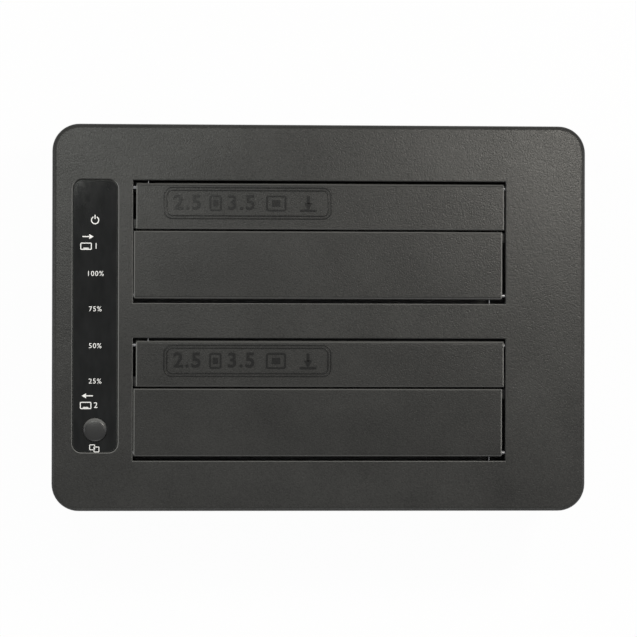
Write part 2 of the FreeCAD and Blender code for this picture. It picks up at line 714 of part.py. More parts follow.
def make_flap(kind, bay):
    """A flap in its own frame: pin along X at the origin, free edge towards -Y."""
    about = FLAPS[kind]
    name = f"{BAYS[bay]}_{kind}_flap"
    left = f"({about['near']} - slot_width / 2)"
    right = f"(slot_width / 2 - {about['far']})"
    free = f"(hinge_edge - {about['depth']})"
    under = "(pin_drop - flap_thickness)"
    body = new_body(f"{name}_plate")
    pad_rectangle(body, (left, right), (free, "hinge_edge"), (under, "pin_drop"))
    crown = value("pin_drop")
    hinge_line = value("hinge_edge")
    round_start = hinge_line - value("flap_hinge_round")

    def beside_pin(bounds):
        return at_height(crown)(bounds) and bounds.YMin > hinge_line - TOLERANCE

    def away_from_pin(bounds):
        return at_height(crown)(bounds) and bounds.YMin < round_start - TOLERANCE

    dress(body, "Fillet", edges_where(body, beside_pin), "Radius", "flap_hinge_round")
    dress(body, "Chamfer", edges_where(body, away_from_pin), "Size", "flap_edge_chamfer")
    lip = (free, f"({free} + flap_rib_thickness)")
    pad_rectangle(body, (left, right), lip, ("(-flap_lip_drop)", under))
    ribs = ("(-flap_rib_drop)", under)
    run = (free, "(-flap_rib_start)")
    first = pad_rectangle(body, (left, f"({left} + flap_rib_thickness)"), run, ribs)
    doc.recompute()
    pattern = body.newObject("PartDesign::LinearPattern", f"{name}_ribs")
    pattern.Originals = [first]
    pattern.Direction = (first.Profile[0], ["H_Axis"])
    pattern.Occurrences = FLAP_RIBS
    bind(pattern, "Length", f"{right} - {left} - flap_rib_thickness")
    body.Tip = pattern
    tab_y = (f"({free} + tab_inset)", f"({free} + tab_inset + tab_length)")
    tab_top = f"({UNDERSIDE} - tab_play - {HINGE_HEIGHT})"
    tab_z = (f"({tab_top} - tab_thickness)", tab_top)
    outer = "(slot_width / 2 + tab_reach)"
    pad_rectangle(body, (f"(-{outer})", f"({left} + flap_rib_thickness)"), tab_y, tab_z)
    pad_rectangle(body, (f"({right} - flap_rib_thickness)", outer), tab_y, tab_z)
    start, end = coil_ends(kind)
    pad_y = ("(-moving_leg)", "(flap_rib_start - moving_leg)")
    pad_z = ("(-coil_radius + wire_radius)", under)
    pad_rectangle(body, around(f"({end} - wire_radius)", "flap_rib_thickness"), pad_y, pad_z)
    axis = ("0", "0")
    barrel = prism(f"{name}_barrel", POST_SIDES, "barrel_radius", axis, (left, right), "X")
    radius = "(pin_radius + pin_play)"
    bore = prism(f"{name}_bore", POST_SIDES, radius, axis, (left, right), "X")
    radius = "(coil_radius + wire_radius + spring_room)"
    room = (f"({start} - pocket_side_room)", f"({end} + pocket_side_room)")
    pocket_tool = prism(f"{name}_spring_room", POST_SIDES, radius, axis, room, "X")
    whole = carve(f"{name}_cut", join(f"{name}_solid", [body, barrel]), [bore, pocket_tool])
    return node(set_at_hinge(whole, kind, bay), name)


def make_hinge_pin(kind, bay):
    name = f"{BAYS[bay]}_{kind}_flap_pin"
    middle = (FLAPS[kind]["axis_y"](bay), HINGE_HEIGHT)
    ends = (f"(-{PIN_HALF})", PIN_HALF)
    return node(cylinder(name, "pin_radius", middle, ends, "X"), name)


def make_spring(kind, bay):
    """A close-wound torsion spring: turns side by side and a straight leg at each end."""
    name = f"{BAYS[bay]}_{kind}_flap_spring"
    start, end = coil_ends(kind)
    axis = ("0", "0")
    parts = [prism(f"{name}_core", POST_SIDES, "coil_radius", axis, (start, end), "X")]
    for turn in range(COIL_TURNS):
        middle = f"({start} + {2 * turn + 1} * wire_radius)"
        width = around(middle, "(1.5 * wire_radius)")
        radius = "(coil_radius + wire_radius)"
        parts.append(prism(f"{name}_turn_{turn}", POST_SIDES, radius, axis, width, "X"))
    leg_z = around("(-coil_radius)", "leg_width")
    fixed_x = around(f"({start} + wire_radius)", "leg_width")
    moving_x = around(f"({end} - wire_radius)", "leg_width")
    parts.append(box(f"{name}_fixed_leg", fixed_x, ("0", "fixed_leg"), leg_z))
    parts.append(box(f"{name}_moving_leg", moving_x, ("(-moving_leg)", "0"), leg_z))
    radius = "(coil_radius - wire_radius)"
    bore = prism(f"{name}_bore", POST_SIDES, radius, axis, (start, end), "X")
    whole = carve(f"{name}_cut", join(f"{name}_solid", parts), [bore])
    return node(set_at_hinge(whole, kind, bay), name)


def make_bay_guide(bay):
    """Stepped well under a slot: a wide mouth for the open flaps, a close fit below."""
    name = f"{BAYS[bay]}_bay_guide"
    body = new_body(f"{name}_well")
    mouth_x = (f"(-{FLAP_WELL_HALF})", FLAP_WELL_HALF)
    mouth_y = (f"({slot_front(bay)} - well_relief)", f"({slot_rear(bay)} + well_relief)")
    drive_x = (f"(-{DRIVE_WELL_HALF})", DRIVE_WELL_HALF)
    drive_y = (drive_front(bay), drive_rear(bay))

    def outside(ends):
        return (f"({ends[0]} - guide_wall)", f"({ends[1]} + guide_wall)")

    step_bottom = f"({WELL_STEP} - guide_wall)"
    pad_rectangle(body, outside(mouth_x), outside(mouth_y), (step_bottom, UNDERSIDE))
    pad_rectangle(body, outside(drive_x), outside(drive_y), (GUIDE_BOTTOM, step_bottom))
    cut_rectangle(body, mouth_x, mouth_y, (WELL_STEP, UNDERSIDE))
    well = cut_rectangle(body, drive_x, drive_y, (GUIDE_FLOOR, WELL_STEP))
    rim = edges_where(body, rim_of(well.Profile[0]))
    dress(body, "Chamfer", rim, "Size", "lead_in")
    socket_x = around(CONNECTOR_MIDDLE, "(receptacle_length + 2 * cutout_room)")
    socket = around(socket_y(bay), "(receptacle_width + 2 * cutout_room)")
    cut_rectangle(body, socket_x, socket, (GUIDE_BOTTOM, GUIDE_FLOOR))
    parts = [body]
    holes = []
    ear = (f"({EAR_TOP} - ear_thickness)", EAR_TOP)
    for number, (x, y, side) in enumerate(ear_spots(bay)):
        wall_y = f"({guide_wall_y(bay, side)} - {side} * guide_wall / 2)"
        arm = (wall_y, y) if side > 0 else (y, wall_y)
        parts.append(prism(f"{name}_ear_{number}", POST_SIDES, "ear_radius", (x, y), ear))
        parts.append(box(f"{name}_arm_{number}", around(x, "(2 * ear_radius)"), arm, ear))
        clearance = "small_screw_radius + clear_play"
        holes.append(prism(f"{name}_hole_{number}", SCREW_SIDES, clearance, (x, y), ear))
    notch_z = (f"({UNDERSIDE} - notch_depth)", UNDERSIDE)
    for kind, about in FLAPS.items():
        leg_x = f"({about['side']} * ({coil_ends(kind)[0]} + wire_radius))"
        middle = f"({guide_wall_y(bay, about['side'])} - {about['side']} * guide_wall / 2)"
        notch = (around(leg_x, "(4 * wire_radius)"), around(middle, "(2 * guide_wall)"))
        holes.append(box(f"{name}_{kind}_notch", notch[0], notch[1], notch_z))
    whole = join(f"{name}_solid", parts)
    return node(carve(f"{name}_cut", whole, holes), name)


def make_top_cover():
    """Upper half of the housing, with the slots, window seat and screw posts."""
    body = housing_shell("top_cover_shell", "parting_height", "case_height", "parting_height")
    rim = edges_where(body, at_height(value("case_height")))
    dress(body, "Fillet", rim, "Radius", "top_edge_radius")
    seat = new_sketch(body, "parting_height")
    case_outline(seat, "(wall - lip_thickness - lip_play)")
    pocket(body, seat, "lip_height + lip_play", upwards=True)
    for bay in range(2):
        slot_x = around("0", "slot_width")
        slot_y = (slot_front(bay), slot_rear(bay))
        slot = cut_rectangle(body, slot_x, slot_y, (UNDERSIDE, "case_height"))
        rim = edges_where(body, rim_of(slot.Profile[0]))
        dress(body, "Fillet", rim, "Radius", "slot_edge_radius")
    recess = new_sketch(body, "case_height")
    window_outline(recess, "window_play")
    pocket(body, recess, "window_sink + window_thickness")
    rim = edges_where(body, rim_of(recess))
    dress(body, "Chamfer", rim, "Size", "window_edge_chamfer")
    opening = new_sketch(body, "case_height")
    window_outline(opening, "(-window_ledge)")
    pocket(body, opening, "wall + window_ledge")
    parts = [body]
    holes = []
    skin = f"({UNDERSIDE} + wall / 4)"
    for number, (x, y) in enumerate(HOUSING_SCREWS):
        post = ("boss_top", skin)
        parts.append(prism(f"corner_post_{number}", POST_SIDES, "boss_radius", (x, y), post))
        pilot = ("boss_top", "(boss_top - boss_web + housing_screw_length + ear_thickness)")
        radius = "housing_screw_radius + thread_play"
        holes.append(prism(f"corner_pilot_{number}", SCREW_SIDES, radius, (x, y), pilot))
    for number, (x, y, side) in enumerate(ear_spots(0) + ear_spots(1)):
        post = (EAR_TOP, skin)
        parts.append(prism(f"guide_post_{number}", POST_SIDES, "ear_radius", (x, y), post))
        pilot = (EAR_TOP, f"({EAR_TOP} + small_screw_length)")
        radius = "small_screw_radius + thread_play"
        holes.append(prism(f"guide_pilot_{number}", SCREW_SIDES, radius, (x, y), pilot))
    for number, (x, y) in enumerate(PANEL_SCREWS):
        post = (PANEL_TOP, f"({UNDERSIDE} + wall / 8)")
        radius = "panel_post_radius"
        parts.append(prism(f"panel_post_{number}", POST_SIDES, radius, (x, y), post))
        pilot = (PANEL_TOP, f"({PANEL_TOP} + panel_screw_length - panel_thickness)")
        radius = "panel_screw_radius + thread_play"
        holes.append(prism(f"panel_pilot_{number}", SCREW_SIDES, radius, (x, y), pilot))
    for bay, bay_name in enumerate(BAYS):
        for kind, about in FLAPS.items():
            name = f"{bay_name}_{kind}_groove"
            y = about["axis_y"](bay)
            ends = (f"(-{PIN_HALF} - pin_seat_play)", f"({PIN_HALF} + pin_seat_play)")
            width = around(y, "(2 * (pin_radius + pin_seat_play))")
            height = (f"({UNDERSIDE} - wall)", f"({HINGE_HEIGHT} + pin_radius + pin_seat_play)")
            holes.append(box(name, ends, width, height))
    whole = join("top_cover_solid", parts)
    return node(carve("top_cover_cut", whole, holes), "top_cover")


def window_outline(sketch, grow):
    """The status window's outline, made larger all round by a play."""
    across = around(WINDOW_X, f"(window_width + 2 * {grow})")
    up = around("window_y", f"(window_length + 2 * {grow})")
    draw_rounded(sketch, across, up, f"(window_radius + {grow})")


def make_base_cover():
    """Lower half of the housing: tray, screw wells, standoffs, vents and rear ports."""
    body = housing_shell("base_cover_shell", "foot_stand", "parting_height", "parting_height")
    rim = edges_where(body, at_height(value("foot_stand")))
    dress(body, "Chamfer", rim, "Size", "bottom_edge_chamfer")
    tongue = new_sketch(body, "parting_height - wall")
    case_outline(tongue, "(wall - lip_thickness)")
    case_outline(tongue, "wall")
    pad(body, tongue, "wall + lip_height")
    groove = new_sketch(body, "parting_height")
    case_outline(groove, "(-wall)")
    case_outline(groove, "parting_groove")
    pocket(body, groove, "parting_groove")
    parts = [body]
    holes = []
    for number, (x, y) in enumerate(HOUSING_SCREWS):
        boss = (BASE_MIDDLE, "boss_top")
        parts.append(prism(f"boss_{number}", POST_SIDES, "boss_radius", (x, y), boss))
        well = ("0", "(boss_top - boss_web)")
        name = f"screw_well_{number}"
        holes.append(prism(name, POST_SIDES, "screw_well_radius", (x, y), well))
        radius = "housing_screw_radius + clear_play"
        holes.append(prism(f"boss_hole_{number}", SCREW_SIDES, radius, (x, y), boss))
    for number, (x, y) in enumerate(BOARD_SCREWS):
        standoff = (BASE_MIDDLE, BOARD_BOTTOM)
        outer = "standoff_radius"
        parts.append(prism(f"standoff_{number}", POST_SIDES, outer, (x, y), standoff))
        radius = "small_screw_radius + thread_play"
        pilot = (FLOOR, BOARD_BOTTOM)
        holes.append(prism(f"standoff_pilot_{number}", SCREW_SIDES, radius, (x, y), pilot))
    for bay, bay_name in enumerate(BAYS):
        place_xy = (CONNECTOR_MIDDLE, socket_y(bay))
        pillar = (BASE_MIDDLE, BOARD_BOTTOM)
        name = f"{bay_name}_pillar"
        parts.append(prism(name, POST_SIDES, "standoff_radius", place_xy, pillar))
    for number, (x, y) in enumerate(FEET.values()):
        seat = ("0", "(foot_stand + foot_recess)")
        radius = "(foot_radius + foot_play)"
        holes.append(prism(f"foot_seat_{number}", SEAT_SIDES, radius, (x, y), seat))
    slot = ("foot_stand", FLOOR)
    for side in LEFT_RIGHT:
        for field in LEFT_RIGHT:
            for number in range(VENTS_PER_FIELD):
                x = f"({side} * (vent_first_x + {number} * vent_pitch))"
                y = f"({field} * vent_y)"
                long_y = around(y, "(vent_length - vent_width)")
                name = f"vent_{side + 1}_{field + 1}_{number}"
                holes.append(box(name, around(x, "vent_width"), long_y, slot))
    rear = ("(case_depth / 2 - wall - lip_thickness)", "(case_depth / 2 + wall)")
    for name, x, z in REAR_PORTS:
        grown_x = (f"({x[0]} - port_room)", f"({x[1]} + port_room)")
        grown_z = (f"({z[0]} - port_room)", f"({z[1]} + port_room)")
        holes.append(box(f"{name}_cutout", grown_x, rear, grown_z))
    whole = join("base_cover_solid", parts)
    return node(carve("base_cover_cut", whole, holes), "base_cover")


def make_foot(name, x, y):
    body = new_body(name)
    pad_circle(body, "foot_radius", ("0", "(foot_stand + foot_recess)"))
    return node(place(body, x, y), name)


def make_status_window():
    """Smoked window with the hole for the clone button."""
    body = new_body("status_window")
    outline = new_sketch(body, WINDOW_BOTTOM)
    window_outline(outline, "0")
    pad(body, outline, "window_thickness")
    doc.recompute()
    crown = body.Tip.Shape.BoundBox.ZMax
    rim = edges_where(body, at_height(crown))
    dress(body, "Chamfer", rim, "Size", "window_edge_chamfer")
    hole = new_sketch(body, WINDOW_TOP)
    draw_circle(hole, "button_radius + button_play", WINDOW_X, BUTTON_Y)
    pocket(body, hole, "window_thickness")
    return node(body, "status_window")


def make_clone_button():
    """Cap with a bevelled crown, a flange under the window and a stem on the switch."""
    body = new_body("clone_button")
    flange_top = f"({WINDOW_BOTTOM} - button_rest_gap)"
    flange_bottom = f"({flange_top} - button_flange_height)"
    stem_bottom = f"({SWITCH_TOP} + plunger_stand)"
    pad_circle(body, "button_flange", (flange_bottom, flange_top))
    pad_circle(body, "button_radius", (flange_top, "(case_height + button_stand)"))
    doc.recompute()
    crown = edges_where(body, at_height(body.Tip.Shape.BoundBox.ZMax))
    dress(body, "Chamfer", crown, "Size", "button_bevel")
    pad_circle(body, "button_stem", (stem_bottom, flange_bottom))
    return node(place(body, WINDOW_X, BUTTON_Y), "clone_button")


def lamp_spots():
    """Status lamps: power, source, the four of the scale, target."""
    column = WINDOW_X
    shifted = f"({WINDOW_X} + led_column_shift)"
    scale = [(column, f"(scale_top_y - {n} * scale_pitch)") for n in range(SCALE_LAMPS)]
    return [
        (column, "power_lamp_y"),
        (shifted, "source_lamp_y"),
        *scale,
        (shifted, "target_lamp_y"),
    ]


def make_panel():
    """Board behind the status window with its lamps, light wells, switch and screws."""
    across = (f"({WINDOW_X} - panel_left)", f"({WINDOW_X} + panel_right)")
    plate = box("panel_plate", across, (PANEL_FRONT, PANEL_REAR), (PANEL_BOTTOM, PANEL_TOP))
    radius = "panel_screw_radius + clear_play / 2"
    holes = [
        prism(f"panel_hole_{n}", SCREW_SIDES, radius, spot, (PANEL_BOTTOM, PANEL_TOP))
        for n, spot in enumerate(PANEL_SCREWS)
    ]
    node(carve("panel_cut", plate, holes), "panel_board")
    lamps = []
    wells = []
    well_z = (PANEL_TOP, f"({UNDERSIDE} - light_guide_gap)")
    for number, (x, y) in enumerate(lamp_spots()):
        lamp_z = (PANEL_TOP, f"({PANEL_TOP} + lamp_height)")
        width = around(x, "lamp_width"), around(y, "lamp_width")
        lamps.append(box(f"lamp_{number}", width[0], width[1], lamp_z))
        name = f"light_well_{number}"
        wells.append(prism(name, POST_SIDES, "light_hole_radius", (x, y), well_z))
    node(group("lamps", lamps), "status_leds")
    block_y = ("(target_lamp_y - scale_pitch / 3)", "(power_lamp_y + scale_pitch / 3)")
    block = box("light_block", around(WINDOW_X, "light_guide_width"), block_y, well_z)
    node(carve("light_block_cut", block, wells), "light_guide")
    spots = [(x, y, PANEL_BOTTOM) for x, y in PANEL_SCREWS]
    screws("panel_screws", "panel_screw_radius", "panel_screw_length",
           "panel_head_radius", "panel_head_height", spots, points_up=True)
    middle = (WINDOW_X, BUTTON_Y)
    square = around(WINDOW_X, "switch_width"), around(BUTTON_Y, "switch_width")
    case = box("switch_case", square[0], square[1], (PANEL_TOP, SWITCH_TOP))
    throat = (f"({SWITCH_TOP} - plunger_depth - plunger_travel - plunger_play)", SWITCH_TOP)
    bore = cylinder("switch_throat", "plunger_radius + plunger_play", middle, throat)
    node(carve("switch_cut", case, [bore]), "clone_switch")
    plunger = (f"({SWITCH_TOP} - plunger_depth)", f"({SWITCH_TOP} + plunger_stand)")
    name = "clone_switch_plunger"
    node(cylinder(name, "plunger_radius", middle, plunger), name)


def make_main_board():
    across = (f"(-{BOARD_SIDE})", BOARD_SIDE)
    level = (BOARD_BOTTOM, BOARD_TOP)
    plate = box("board_plate", across, (BOARD_FRONT, BOARD_REAR), level)
    radius = "small_screw_radius + clear_play"
    holes = [
        prism(f"board_hole_{n}", SCREW_SIDES, radius, spot, level)
        for n, spot in enumerate(BOARD_SCREWS)
    ]
    node(carve("board_cut", plate, holes), "main_board")
    spots = [(x, y, BOARD_TOP) for x, y in BOARD_SCREWS]
    screws("board_screws", "small_screw_radius", "board_screw_length",
           "small_head_radius", "small_head_height", spots, points_up=False)


def make_drive_socket(bay):
    """Drive socket with two L-shaped slots, and its row of contacts."""
    name = f"{BAYS[bay]}_drive_socket"
    top = f"({BOARD_TOP} + receptacle_height)"
    y = socket_y(bay)
    block = box(
        f"{name}_block",
        around(CONNECTOR_MIDDLE, "receptacle_length"),
        around(y, "receptacle_width"),
        (BOARD_TOP, top),
    )
    slot_z = (f"({top} - receptacle_slot_depth)", top)
    power_end = "(connector_start + power_tongue)"
    signal_start = f"({power_end} + tongue_gap)"
    signal_end = f"({signal_start} + signal_tongue)"
    slots = []
    contacts = []
    slot_y = around(y, "tongue_slot")
    key_y = (f"({y} - tongue_slot / 2 - key_slot)", slot_y[1])
    parts = (
        ("power", "connector_start", power_end, POWER_CONTACTS),
        ("signal", signal_start, signal_end, SIGNAL_CONTACTS),
    )
    for part, low, high, count in parts:
        long_x = (f"({low} - tongue_play)", f"({high} + tongue_play)")
        key_x = (long_x[0], f"({long_x[0]} + key_slot)")
        slots.append(box(f"{name}_{part}_slot", long_x, slot_y, slot_z))
        slots.append(box(f"{name}_{part}_key", key_x, key_y, slot_z))
        middle = f"(({low} + key_slot + {high}) / 2)"
        for number in range(count):
            x = f"({middle} + ({number} - ({count} - 1) / 2) * contact_pitch)"
            blade_y = (f"({slot_y[1]} - contact_depth)", slot_y[1])
            blade_z = (slot_z[0], f"({slot_z[0]} + contact_height)")
            blade_x = around(x, "contact_width")
            contacts.append(box(f"{name}_{part}_blade_{number}", blade_x, blade_y, blade_z))
    node(carve(f"{name}_cut", block, slots), name)
    node(group(f"{name}_blades", contacts), f"{BAYS[bay]}_socket_contacts")


def make_usb_port():
    """Square USB socket: metal shell and the plastic insert with its tongue."""
    back = f"({PORT_FACE} - usb_depth)"
    outer = box("usb_outer", USB_X, (back, PORT_FACE), USB_Z)
    inner_x = (f"({USB_X[0]} + usb_sheet)", f"({USB_X[1]} - usb_sheet)")
    inner_y = (f"({back} + usb_sheet)", PORT_FACE)
    inner_z = (f"({USB_Z[0]} + usb_sheet)", f"({USB_Z[1]} - usb_sheet)")
    room = box("usb_room", inner_x, inner_y, inner_z)
    node(carve("usb_shell_cut", outer, [room]), "usb_port_shell")
    fill = box("usb_fill", inner_x, (inner_y[0], f"({PORT_FACE} - usb_sheet)"), inner_z)
    deep = (f"({PORT_FACE} - usb_opening_depth)", PORT_FACE)
    rim = f"(({USB_Z[0]} + {USB_Z[1]}) / 2 - (usb_lower_height + usb_upper_height) / 2)"
    lower_z = (rim, f"({rim} + usb_lower_height)")
    upper_z = (lower_z[1], f"({lower_z[1]} + usb_upper_height)")
    lower = box("usb_lower", around("usb_x", "usb_lower_width"), deep, lower_z)
    upper = box("usb_upper", around("usb_x", "usb_upper_width"), deep, upper_z)
    tongue_y = (f"({deep[0]} - usb_sheet)", f"({PORT_FACE} - usb_tongue_recess)")
    middle = f"(({lower_z[0]} + {lower_z[1]}) / 2)"
    tongue_x = around("usb_x", "usb_tongue_width")
    tongue = box("usb_tongue", tongue_x, tongue_y, around(middle, "usb_tongue_height"))
    bored = carve("usb_insert_cut", fill, [lower, upper])
    node(join("usb_insert", [bored, tongue]), "usb_port_insert")


def make_power_inlet():
    """Barrel inlet: plastic housing with a round bore, and the centre pin."""
    back = f"({PORT_FACE} - jack_depth)"
    housing = box("jack_housing", JACK_X, (back, PORT_FACE), JACK_Z)
    middle = ("jack_x", f"({BOARD_TOP} + jack_axis)")
    floor = f"({PORT_FACE} - jack_bore_depth)"
    bore = cylinder("jack_hole", "jack_bore", middle, (floor, PORT_FACE), "Y")
    node(carve("jack_cut", housing, [bore]), "power_inlet")
    pin = (floor, f"({PORT_FACE} - jack_pin_recess)")
    node(cylinder("jack_centre", "jack_pin", middle, pin, "Y"), "power_inlet_pin")


def make_power_switch():
    """Rocker switch on the board; its key turns about an upright axis."""
    face = "(case_depth / 2)"
    back = f"({face} - rocker_body_depth)"
    front = box("switch_front", ROCKER_X, (back, face), ROCKER_Z)
    foot_y = (back, f"({back} + rocker_foot_depth)")
    foot = box("switch_foot", ROCKER_X, foot_y, (BOARD_TOP, "rocker_z"))
    key_z = around("rocker_z", "rocker_key_height")
    room_x = around("rocker_x", "(2 * (rocker_half_length + rocker_end_room))")
    room_z = around("rocker_z", "(rocker_key_height + 2 * rocker_side_room)")
    cavity = box("switch_cavity", room_x, (f"({face} - rocker_cavity_depth)", face), room_z)
    pivot = ("rocker_x", f"({face} - rocker_pivot_depth)")
    stub_z = (
        f"({key_z[0]} - rocker_side_room - rocker_stub_length)",
        f"({key_z[1]} + rocker_side_room + rocker_stub_length)",
    )
    stub_room = "rocker_stub_radius + rocker_stub_play"
    bearing_z = (f"({stub_z[0]} - rocker_stub_play)", f"({stub_z[1]} + rocker_stub_play)")
    bearing = cylinder("switch_bearing", stub_room, pivot, bearing_z)
    whole = join("switch_solid", [front, foot])
    node(carve("switch_body_cut", whole, [cavity, bearing]), "power_switch_body")
    make_rocker(key_z, stub_z)


def make_rocker(key_z, stub_z):
    """Rocker key: two flats that meet at a shallow angle, pressed in on one side."""
    body = new_body("power_switch_rocker")
    sketch = new_sketch(body, key_z[0])
    half = "rocker_half_length"
    low_face = "(rocker_pivot_depth - rocker_low_face)"
    proud = f"({low_face} + {half} * sin(rocker_swing))"
    tail = "(-rocker_tail)"
    corners = [
        (f"(-{half})", proud), ("0", low_face), (half, low_face),
        (half, "0"), (f"({half} / 2)", tail), (f"(-{half} / 2)", tail), (f"(-{half})", "0"),
    ]
    spots = [(-5, 4), (0, 3), (5, 3), (5, 0), (2, -1), (-2, -1), (-5, 0)]
    for number, spot in enumerate(spots):
        ahead = spots[(number + 1) % len(spots)]
        line = Part.LineSegment(FreeCAD.Vector(*spot, 0), FreeCAD.Vector(*ahead, 0))
        sketch.addGeometry(line, False)
    for number, (across, up) in enumerate(corners):
        ahead = (number + 1) % len(corners)
        sketch.addConstraint(Sketcher.Constraint("Coincident", number, 2, ahead, 1))
        constrain(sketch, across, "DistanceX", -1, 1, number, 1, float(spots[number][0]))
        constrain(sketch, up, "DistanceY", -1, 1, number, 1, float(spots[number][1]))
    pad(body, sketch, "rocker_key_height")
    pad_circle(body, "rocker_stub_radius", stub_z)
    place(body, "rocker_x", "(case_depth / 2 - rocker_pivot_depth)")
    node(body, "power_switch_rocker")


def make_board_parts():
    """Controller, memory, crystal, coils and capacitors of the main board."""
    body = new_body("controller_chip")
    square = around("0", "chip_width")
    pad_rectangle(body, square, square, ("0", "chip_height"))
    doc.recompute()
    crown = edges_where(body, at_height(value("chip_height")))
    dress(body, "Chamfer", crown, "Size", "chip_chamfer")
    node(place(body, "controller_x", "controller_y", BOARD_TOP), "controller_chip")
    memory_x = around("(controller_x + chip_width)", "memory_width")
    memory_y = around("controller_y", "memory_length")
    memory_z = (BOARD_TOP, f"({BOARD_TOP} + chip_height)")
    node(box("memory_chip", memory_x, memory_y, memory_z), "memory_chip")
    crystal_x = around("(controller_x - chip_width)", "crystal_width")
    crystal_y = around("controller_y", "crystal_length")
    crystal_z = (BOARD_TOP, f"({BOARD_TOP} + crystal_height)")
    node(box("crystal", crystal_x, crystal_y, crystal_z), "crystal")
    cans = []
    can_z = (BOARD_TOP, f"({BOARD_TOP} + capacitor_height)")
    for number in range(CAPACITORS):
        x = f"(first_capacitor_x - {number} * capacitor_pitch)"
        name = f"can_{number}"
        cans.append(prism(name, POST_SIDES, "capacitor_radius", (x, MIDDLE_Y), can_z))
    node(group("cans", cans), "capacitors")
    coils = []
    coil_z = (BOARD_TOP, f"({BOARD_TOP} + inductor_height)")
    for number in range(INDUCTORS):
        x = f"(first_inductor_x + {number} * inductor_pitch)"
        coil_x = around(x, "inductor_width")
        coil_y = around(MIDDLE_Y, "inductor_width")
        coils.append(box(f"coil_{number}", coil_x, coil_y, coil_z))
    node(group("coils", coils), "inductors")


def make_ribbon():
    """Ribbon lead from the main board's header up to the panel's, with two easy bends."""
    across = around(MIDDLE_Y, "header_width")
    low_z = (BOARD_TOP, f"({BOARD_TOP} + header_height)")
    high_z = (f"({PANEL_BOTTOM} - header_height)", PANEL_BOTTOM)
    low_x = around(f"(header_inset - {BOARD_SIDE})", "header_thickness")
    high_x = around(f"({WINDOW_X} + panel_header_shift)", "header_thickness")
    low = box("board_plug", low_x, across, low_z)
    high = box("panel_plug", high_x, across, high_z)
    node(low, "board_header")
    node(high, "panel_header")
    doc.recompute()
    start = low.Shape.BoundBox.Center
    start.z = low.Shape.BoundBox.ZMax
    finish = high.Shape.BoundBox.Center
    finish.z = high.Shape.BoundBox.ZMin
    bend = value("ribbon_bend")
    shift = finish.x - start.x
    turn = acos(1 - abs(shift) / (2 * bend))
    rise = 2 * bend * sin(turn)
    straight = (finish.z - start.z - rise) / 2
    side = 1 if shift > 0 else -1

    def arc_point(centre, sign, angle):
        x = centre.x - sign * bend * cos(angle)
        return FreeCAD.Vector(x, centre.y, centre.z + bend * sin(angle))

    first = start + FreeCAD.Vector(0, 0, straight)
    centre_one = first + FreeCAD.Vector(side * bend, 0, 0)
    middle = arc_point(centre_one, side, turn)
    last = finish - FreeCAD.Vector(0, 0, straight)
    centre_two = last - FreeCAD.Vector(side * bend, 0, 0)
    edges = [
        Part.LineSegment(start, first).toShape(),
        Part.Arc(first, arc_point(centre_one, side, turn / 2), middle).toShape(),
        Part.Arc(middle, arc_point(centre_two, -side, -turn / 2), last).toShape(),
        Part.LineSegment(last, finish).toShape(),
    ]
    half = value("ribbon_width") / 2
    thin = value("ribbon_thickness") / 2
    corners = [
        start + FreeCAD.Vector(dx * thin, dy * half, 0)
        for dx, dy in ((-1, -1), (1, -1), (1, 1), (-1, 1), (-1, -1))
    ]
    section = Part.makePolygon(corners)
    ribbon = doc.addObject("Part::Feature", "ribbon")
    ribbon.Shape = Part.Wire(edges).makePipeShell([section], True, False)
    ribbon.Placement = FreeCAD.Placement()
    expected = sum(edge.Length for edge in edges) * 4 * half * thin
    if abs(ribbon.Shape.Volume / expected - 1) > 0.01:
        raise RuntimeError("the ribbon's volume is wrong")
    node(ribbon, "panel_lead")


def build():
    make_top_cover()
    make_base_cover()
    for name, (x, y) in FEET.items():
        make_foot(name, x, y)
    make_status_window()
    make_clone_button()
    make_panel()
    for bay in range(2):
        make_bay_guide(bay)
        make_drive_socket(bay)
        for kind in FLAPS:
            make_flap(kind, bay)
            make_hinge_pin(kind, bay)
            make_spring(kind, bay)
    spots = [
        (x, y, f"({EAR_TOP} - ear_thickness)")
        for x, y, side in ear_spots(0) + ear_spots(1)
    ]
    screws("bay_guide_screws", "small_screw_radius", "small_screw_length",
           "small_head_radius", "small_head_height", spots, points_up=True)
    spots = [(x, y, "(boss_top - boss_web)") for x, y in HOUSING_SCREWS]
    screws("housing_screws", "housing_screw_radius", "housing_screw_length",
           "housing_head_radius", "housing_head_height", spots, points_up=True)
    make_main_board()
    make_usb_port()
    make_power_inlet()
    make_power_switch()
    make_board_parts()
    make_ribbon()


def export():
    """Check every object, then write one STEP file for each sub-part."""
    doc.recompute()
    for thing in doc.Objects:
        if "Invalid" in thing.State or "Error" in thing.State:
            raise RuntimeError(f"{thing.Name} did not build: {thing.State}")
    for thing in NODES:
        if thing.Shape.isNull() or not thing.Shape.isValid() or not thing.Shape.Solids:
            raise RuntimeError(f"{thing.Label} has no sound solid")
    os.makedirs("parts", exist_ok=True)
    for thing in NODES:
        thing.Shape.exportStep(f"parts/{thing.Label}.step")
    print(f"{len(NODES)} sub-parts written")


build()
export()
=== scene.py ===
"""Looks of the two-bay drive duplicator: finishes, marks, springs, screws and studio.

Metres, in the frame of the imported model: X to the right, Y to the rear, Z up.
"""

from math import cos, pi, radians, sin

import bpy
from mathutils import Matrix, Vector


